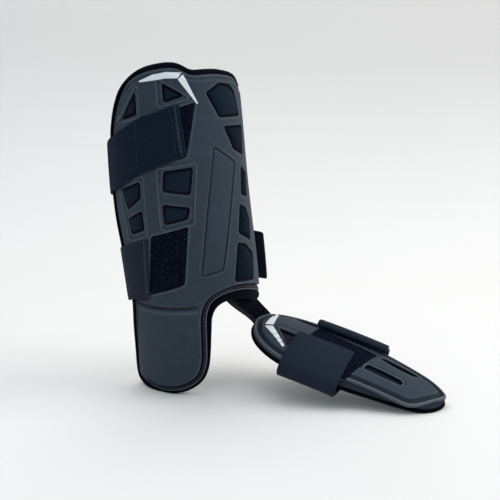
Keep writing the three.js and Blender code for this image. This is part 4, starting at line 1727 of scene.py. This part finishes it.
@dataclass
class ToeGuard:
    """The toe guard: moulded shell, two foam layers, loop face, strap and accent."""

    form: ToeForm
    dresser: Dresser
    rim: Table = Table(
        ((0, -2.6), (0.5, -1.3), (1.2, -0.7), (2.6, -0.6), (3.2, -1.1), (3.8, -2.5), (4.8, -2.8),
         (7.6, -2.6), (8.6, -1.6), (9.4, -0.5), (10.4, 0), (13, 0))
    )
    slot: Table = Table(
        ((-3, -3.4), (-0.9, -3.4), (-0.3, -2.6), (0.2, -0.6), (0.8, 0.1), (1.6, 0.15), (2.6, 0), (4, 0))
    )
    foam_curve: Table = Table(((0, -1.9), (0.4, -0.9), (1.2, -0.2), (2.4, 0), (4, 0)))
    hem: Table = Table(
        ((0, -1.1), (0.4, -0.45), (1.0, 0), (2.2, 0.05), (2.8, -0.3), (3.3, -0.3), (3.8, 0), (5, 0))
    )

    def __post_init__(self) -> None:
        """Cut the flat outlines."""
        self.foam_edge = flowing(self.form.flat(TOE_EDGE), 2.0)
        self.edge = flowing(TOE_PLATE, 2.0)
        self.slots = [rounded(corners, 2.6, 1.2) for corners in TOE_SLOTS]
        self.tracks = [resample(np.array(path, float), 1.2, closed=False) for path in TOE_GROOVES]
        self.patch_edge = rounded(self.form.flat(TOE_PATCH), 3.0, 1.6)

    def relief(self, points: np.ndarray) -> np.ndarray:
        """Rise of the shell's face.

        Args:
            points: Places in the flat pattern.

        Returns:
            The rise at each.
        """
        rise = self.rim(edge_distance(points, self.edge))
        for loop in self.slots:
            rise = rise + self.slot(signed(points, loop))
        for path in self.tracks:
            rise = rise - 0.9 * np.clip(1 - edge_distance(points, path, closed=False) / 1.1, 0, 1) ** 0.7
        return rise + self.slot(signed(points, self.patch_edge)) * 0.5

    def seam(self, points: np.ndarray) -> np.ndarray:
        """Mask of painted shade in the dark border groove, on the slots' walls and floors and in the narrow
        grooves.

        Args:
            points: Places in the flat pattern.

        Returns:
            How black the shell is at each.
        """
        made = [0.5 * between(edge_distance(points, self.edge), 3.7, 8.4, 0.6)]
        for loop in self.slots:
            s = signed(points, loop)
            made += [between(s, -1.5, 0.2, 0.5), 0.8 * between(s, -30, -1, 0.5)]
        for path in self.tracks:
            made.append(0.75 * np.clip(1.4 - edge_distance(points, path, closed=False) / 0.9, 0, 1))
        return np.maximum.reduce(made)

    def lit(self, points: np.ndarray) -> np.ndarray:
        """Mask of painted highlight on the ridges.

        Args:
            points: Places in the flat pattern.

        Returns:
            How pale the shell is at each.
        """
        made = [between(edge_distance(points, self.edge), 1.0, 2.8, 0.5)]
        for loop in self.slots:
            made.append(0.6 * between(signed(points, loop), 0.8, 1.8, 0.5))
        for path in self.tracks:
            made.append(0.4 * between(edge_distance(points, path, closed=False), 1.4, 2.2, 0.5))
        return np.maximum.reduce(made)

    def build(self) -> None:
        """Build and dress the whole toe guard."""
        self._shell()
        self._foam("toe_foam_upper", inset(self.foam_edge, -0.8, 2.0), -4.4, -8.4, "foam_edge")
        self._foam("toe_foam_lower", inset(self.foam_edge, -3.0, 2.0), -8.8, -12.8, "liner_knit")
        self._patch()
        self._strap()
        for name, corners in TOE_MARKS.items():
            mark = film(name, rounded(corners, 0.7, 1.0), self.form, self.relief)
            self.dresser.dress(mark, "white_film", Slot.TOE_SHELL)

    def _shell(self) -> None:
        """The moulded shell."""
        lines = [inset(self.edge, d, 2.0) for d in (0.5, 1.2, 2.6, 3.2, 3.8, 4.8, 7.6, 8.6, 9.4, 10.4)]
        for loop in [*self.slots, self.patch_edge]:
            lines += [loop] + [inset(loop, d, 1.6) for d in (0.8, -0.4, -1.4)]
        shell = Sheet(
            "toe_plate", self.edge, self.form, self.relief, even(-4.0), [], lines, 1.6, 5.0,
            masks={"Seam": self.seam, "Lit": self.lit},
        ).build()
        self.dresser.dress(shell, "toe_skin", Slot.TOE_SHELL, "toe_shell")

    def _foam(self, name: str, edge: np.ndarray, top: float, low: float, finish: str) -> None:
        """One foam layer with rounded edges.

        Args:
            name: Name of the piece and of its node.
            edge: Its outline.
            top: Rise of its upper face.
            low: Rise of its lower face.
            finish: Name of its finish.
        """
        layer = Sheet(
            f"layer_{name}", edge, self.form, edged(top, edge, self.foam_curve),
            lambda p: low - self.foam_curve(edge_distance(p, edge)),
            lines=[inset(edge, d, 2.2) for d in (0.4, 1.2, 2.4)], pitch=5.0, back_pitch=4.0,
            back_lines=[inset(edge, d, 3.0) for d in (0.7, 1.8)],
        ).build()
        self.dresser.dress(layer, finish, Slot.LINER, name)

    def _patch(self) -> None:
        """The loop face."""
        edge = inset(self.patch_edge, 0.6, 1.2)
        patch = Sheet(
            "face_toe_patch", edge, self.form, lambda p: pile_level(p, edge) + 0.2, even(PATCH_BACK),
            pitch=0.9, back_pitch=4.0,
        ).build()
        self.dresser.dress(patch, "loop_face", Slot.PATCH, "toe_patch")

    def _strap(self) -> None:
        """The strap loop."""
        loop = ToeLoop(self.form)
        edge = band_outline(loop.length, loop.width)
        strap = Sheet(
            "web_toe_strap", edge, loop, edged(1.3, edge, self.hem), eased(-1.3, edge, 0.9),
            lines=[inset(edge, d, 2.2) for d in (0.5, 1.2, 2.2, 3.0, 3.8)], pitch=2.2, back_pitch=2.6,
            back_lines=[inset(edge, 1.1, 2.4)],
            # Painted highlight along the far end's edge.
            masks={"Lit": lambda p: 0.8 * between(loop.length - p[:, 0], 0.2, 2.6, 0.6)},
        ).build()
        self.dresser.dress(strap, "toe_strap_web", Slot.STRAP, "toe_strap")
        path = across_band(loop.width, 4.2)
        seam = stitch_row("toe_strap_stitches", path, loop, 1.35, STITCH_STEP, (2.0, 0.6))
        self.dresser.dress(seam, "strap_thread", Slot.STRAP)


@dataclass(frozen=True)
class Connector:
    """The pile strap from inside the guard's front edge to under the toe foam."""

    leg: LegForm
    toe: ToeForm
    dresser: Dresser
    width: float = 44.0
    length: float = 150.0
    on_guard: tuple = (
        ((-9, 138, -15), (-5.5, 122, -15), (-0.5, 106, -12.8)),
        ((42, 122, -15), (46, 101, -14.5), (50, 86, -9)),
    )
    on_toe: tuple = (
        ((-7.5, 12.5, -8.5), (1, 11, -14), (12, 11, -15), (34, 10, -14.6)),
        ((1, 47, -2.5), (10, 45, -8), (26, 42, -14), (48, 38, -14.6)),
    )

    def _edges(self) -> tuple[Thread, Thread]:
        """Both long edges, in the part's frame."""
        made = []
        for guard, toe in zip(self.on_guard, self.on_toe):
            angle, height, rise = np.array(guard, float).T
            upper = self.leg(angle * self.leg.arc, height, rise)
            made.append(Thread(np.vstack([upper, self.toe(*np.array(toe, float).T)])))
        return made[0], made[1]

    def __call__(self, x: np.ndarray, y: np.ndarray, rise: np.ndarray) -> np.ndarray:
        """Points of the strap's flat pattern between its edges.

        Args:
            x: Distance from the upper end.
            y: Distance across.
            rise: Distance outside the strap's middle.

        Returns:
            Points in the part's frame.
        """
        outer, inner = self._edges()
        shares = np.linspace(0, 1, 161)
        low, high = outer.sampled(shares), inner.sampled(shares)
        heading = np.gradient(low, axis=0) + np.gradient(high, axis=0)
        normal = np.cross(heading, high - low)
        normal /= np.linalg.norm(normal, axis=1)[:, None]
        share, across = np.clip(x / self.length, 0, 1), (y / self.width)[:, None]
        first, last, out = (
            np.stack([np.interp(share, shares, line[:, k]) for k in range(3)], axis=1)
            for line in (low, high, normal)
        )
        return first + (last - first) * across + out * np.asarray(rise)[:, None] * MM

    def build(self) -> None:
        """Build and dress the strap."""
        edge = band_outline(self.length, self.width)
        bound = Table(((0, -1.0), (0.5, -0.2), (1.2, 0.1), (3.4, 0.15), (4.0, -0.2), (5, 0), (7, 0)))
        strap = Sheet(
            "pile_connector", edge, self, edged(1.2, edge, bound), eased(-1.2, edge, 0.9),
            lines=[inset(edge, d, 1.8) for d in (0.5, 1.2, 3.4, 4.2)],
            pitch=1.2, back_pitch=2.6, back_lines=[inset(edge, 1.1, 2.4)],
            masks={"Seam": self.bound_side, "Lit": self.binding},
        ).build()
        self.dresser.dress(strap, "bound_pile", Slot.PATCH, "connector_strap")

    def bound_side(self, points: np.ndarray) -> np.ndarray:
        """Mask of the dark bound edge, between its pale ribs."""
        return 0.95 * between(points[:, 1], -1, 6.6, 0.3) * (1 - self.binding(points))

    @staticmethod
    def binding(points: np.ndarray) -> np.ndarray:
        """Mask of the two pale ribs of the bound edge."""
        return np.maximum(between(points[:, 1], 2.0, 3.0, 0.5), between(points[:, 1], 5.4, 6.4, 0.5))


# Studio


@dataclass(frozen=True)
class Studio:
    """Floor, light and camera."""

    dresser: Dresser
    target: tuple[float, float, float] = (0.034743, 0.069714, 0.160)
    way: tuple[float, float, float] = (-0.6310, -0.7520, 0.1908)
    distance: float = 1.010

    def build(self) -> None:
        """Set up everything round the object."""
        self._floor()
        self._lights()
        self._camera()
        scene = bpy.context.scene
        scene.view_settings.view_transform = "Standard"
        world = bpy.data.worlds.new("studio")
        world.use_nodes = True
        back = world.node_tree.nodes["Background"]
        back.inputs["Color"].default_value = (0.79, 0.945, 1.1, 1)
        back.inputs["Strength"].default_value = 0.56
        scene.world = world

    def _floor(self) -> None:
        """A floor that turns up into a wall behind the object, shaded to the photo's falloff."""
        heading = math.atan2(-self.way[1], -self.way[0])
        bpy.ops.object.select_all(action="DESELECT")
        bpy.ops.mesh.primitive_plane_add(size=6)
        floor = bpy.context.active_object
        floor.name = "floor"
        away = np.array([math.cos(heading), math.sin(heading), 0.0])
        side = np.array([-away[1], away[0], 0.0])
        for vertex, (u, v) in zip(floor.data.vertices, ((-3, -3), (-3, 3), (1.1, -3), (1.1, 3))):
            vertex.co = Vector(away * u + side * v)
        bpy.ops.object.mode_set(mode="EDIT")
        bpy.ops.mesh.select_all(action="DESELECT")
        bpy.ops.object.mode_set(mode="OBJECT")
        for edge in floor.data.edges:
            edge.select = all(np.dot(floor.data.vertices[i].co, away) > 1 for i in edge.vertices)
        bpy.ops.object.mode_set(mode="EDIT")
        bpy.ops.mesh.select_mode(type="EDGE")
        bpy.ops.mesh.extrude_region_move(TRANSFORM_OT_translate={"value": (0, 0, 2.6)})
        bpy.ops.object.mode_set(mode="OBJECT")
        bend = floor.modifiers.new("bend", "BEVEL")
        bend.width, bend.segments, bend.angle_limit = 0.5, 16, math.radians(40)
        apply_all(floor)
        smooth(floor, 60)
        where = np.array([vertex.co for vertex in floor.data.vertices])
        # Painted shade: the wall darker than the floor, and both darker towards the right.
        right = 1 - np.clip(where @ side / 0.6, -1, 1)
        shade = np.clip(where[:, 2] / 0.4, 0, 1) * (0.02 + 0.14 * right) + 0.035 * right**2
        layer = floor.data.attributes.new("Seam", "FLOAT", "POINT")
        layer.data.foreach_set("value", shade.astype(np.float32))
        floor.data.materials.append(self.dresser.materials["floor_paper"])

    def _lights(self) -> None:
        """Soft lamps."""
        lamps = (
            ("key", (1.45, -1.35, 1.25), 1.6, 30.0, (1.0, 0.985, 0.965)),
            ("side", (-1.6, -0.5, 1.1), 1.4, 2.4, (0.94, 0.97, 1.0)),
            ("top", (-0.2, 0.3, 1.8), 1.5, 15.5, (1.0, 0.99, 0.985)),
        )
        for name, place, size, power, colour in lamps:
            data = bpy.data.lights.new(name, "AREA")
            data.shape, data.size, data.energy, data.color = "SQUARE", size, power, colour
            lamp = bpy.data.objects.new(name, data)
            lamp.location = place
            lamp.rotation_euler = (Vector(self.target) - Vector(place)).to_track_quat("-Z", "Y").to_euler()
            bpy.context.scene.collection.objects.link(lamp)

    def _camera(self) -> None:
        """The camera at the photograph's angle."""
        data = bpy.data.cameras.new("camera")
        data.lens, data.sensor_width, data.clip_end = 60, 36, 20
        camera = bpy.data.objects.new("camera", data)
        way = Vector(self.way).normalized()
        camera.location = Vector(self.target) + way * self.distance
        camera.rotation_euler = (-way).to_track_quat("-Z", "Y").to_euler()
        bpy.context.scene.collection.objects.link(camera)
        bpy.context.scene.camera = camera


def main() -> None:
    """Build the scene in order."""
    logging.basicConfig(level=logging.INFO, format="%(name)s %(message)s")
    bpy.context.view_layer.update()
    leg, toe, dresser = LegForm(), ToeForm(), Dresser()
    shell = ShinShell(leg, dresser)
    shell.build()
    shell.stitches()
    shell.marks()
    Liner(shell, dresser).build()
    WindowPads(shell, dresser).build()
    Patches(shell, dresser).build()
    Straps(dresser).build()
    ToeGuard(toe, dresser).build()
    Connector(leg, toe, dresser).build()
    Studio(dresser).build()


if __name__ == "__main__":
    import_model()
    main()
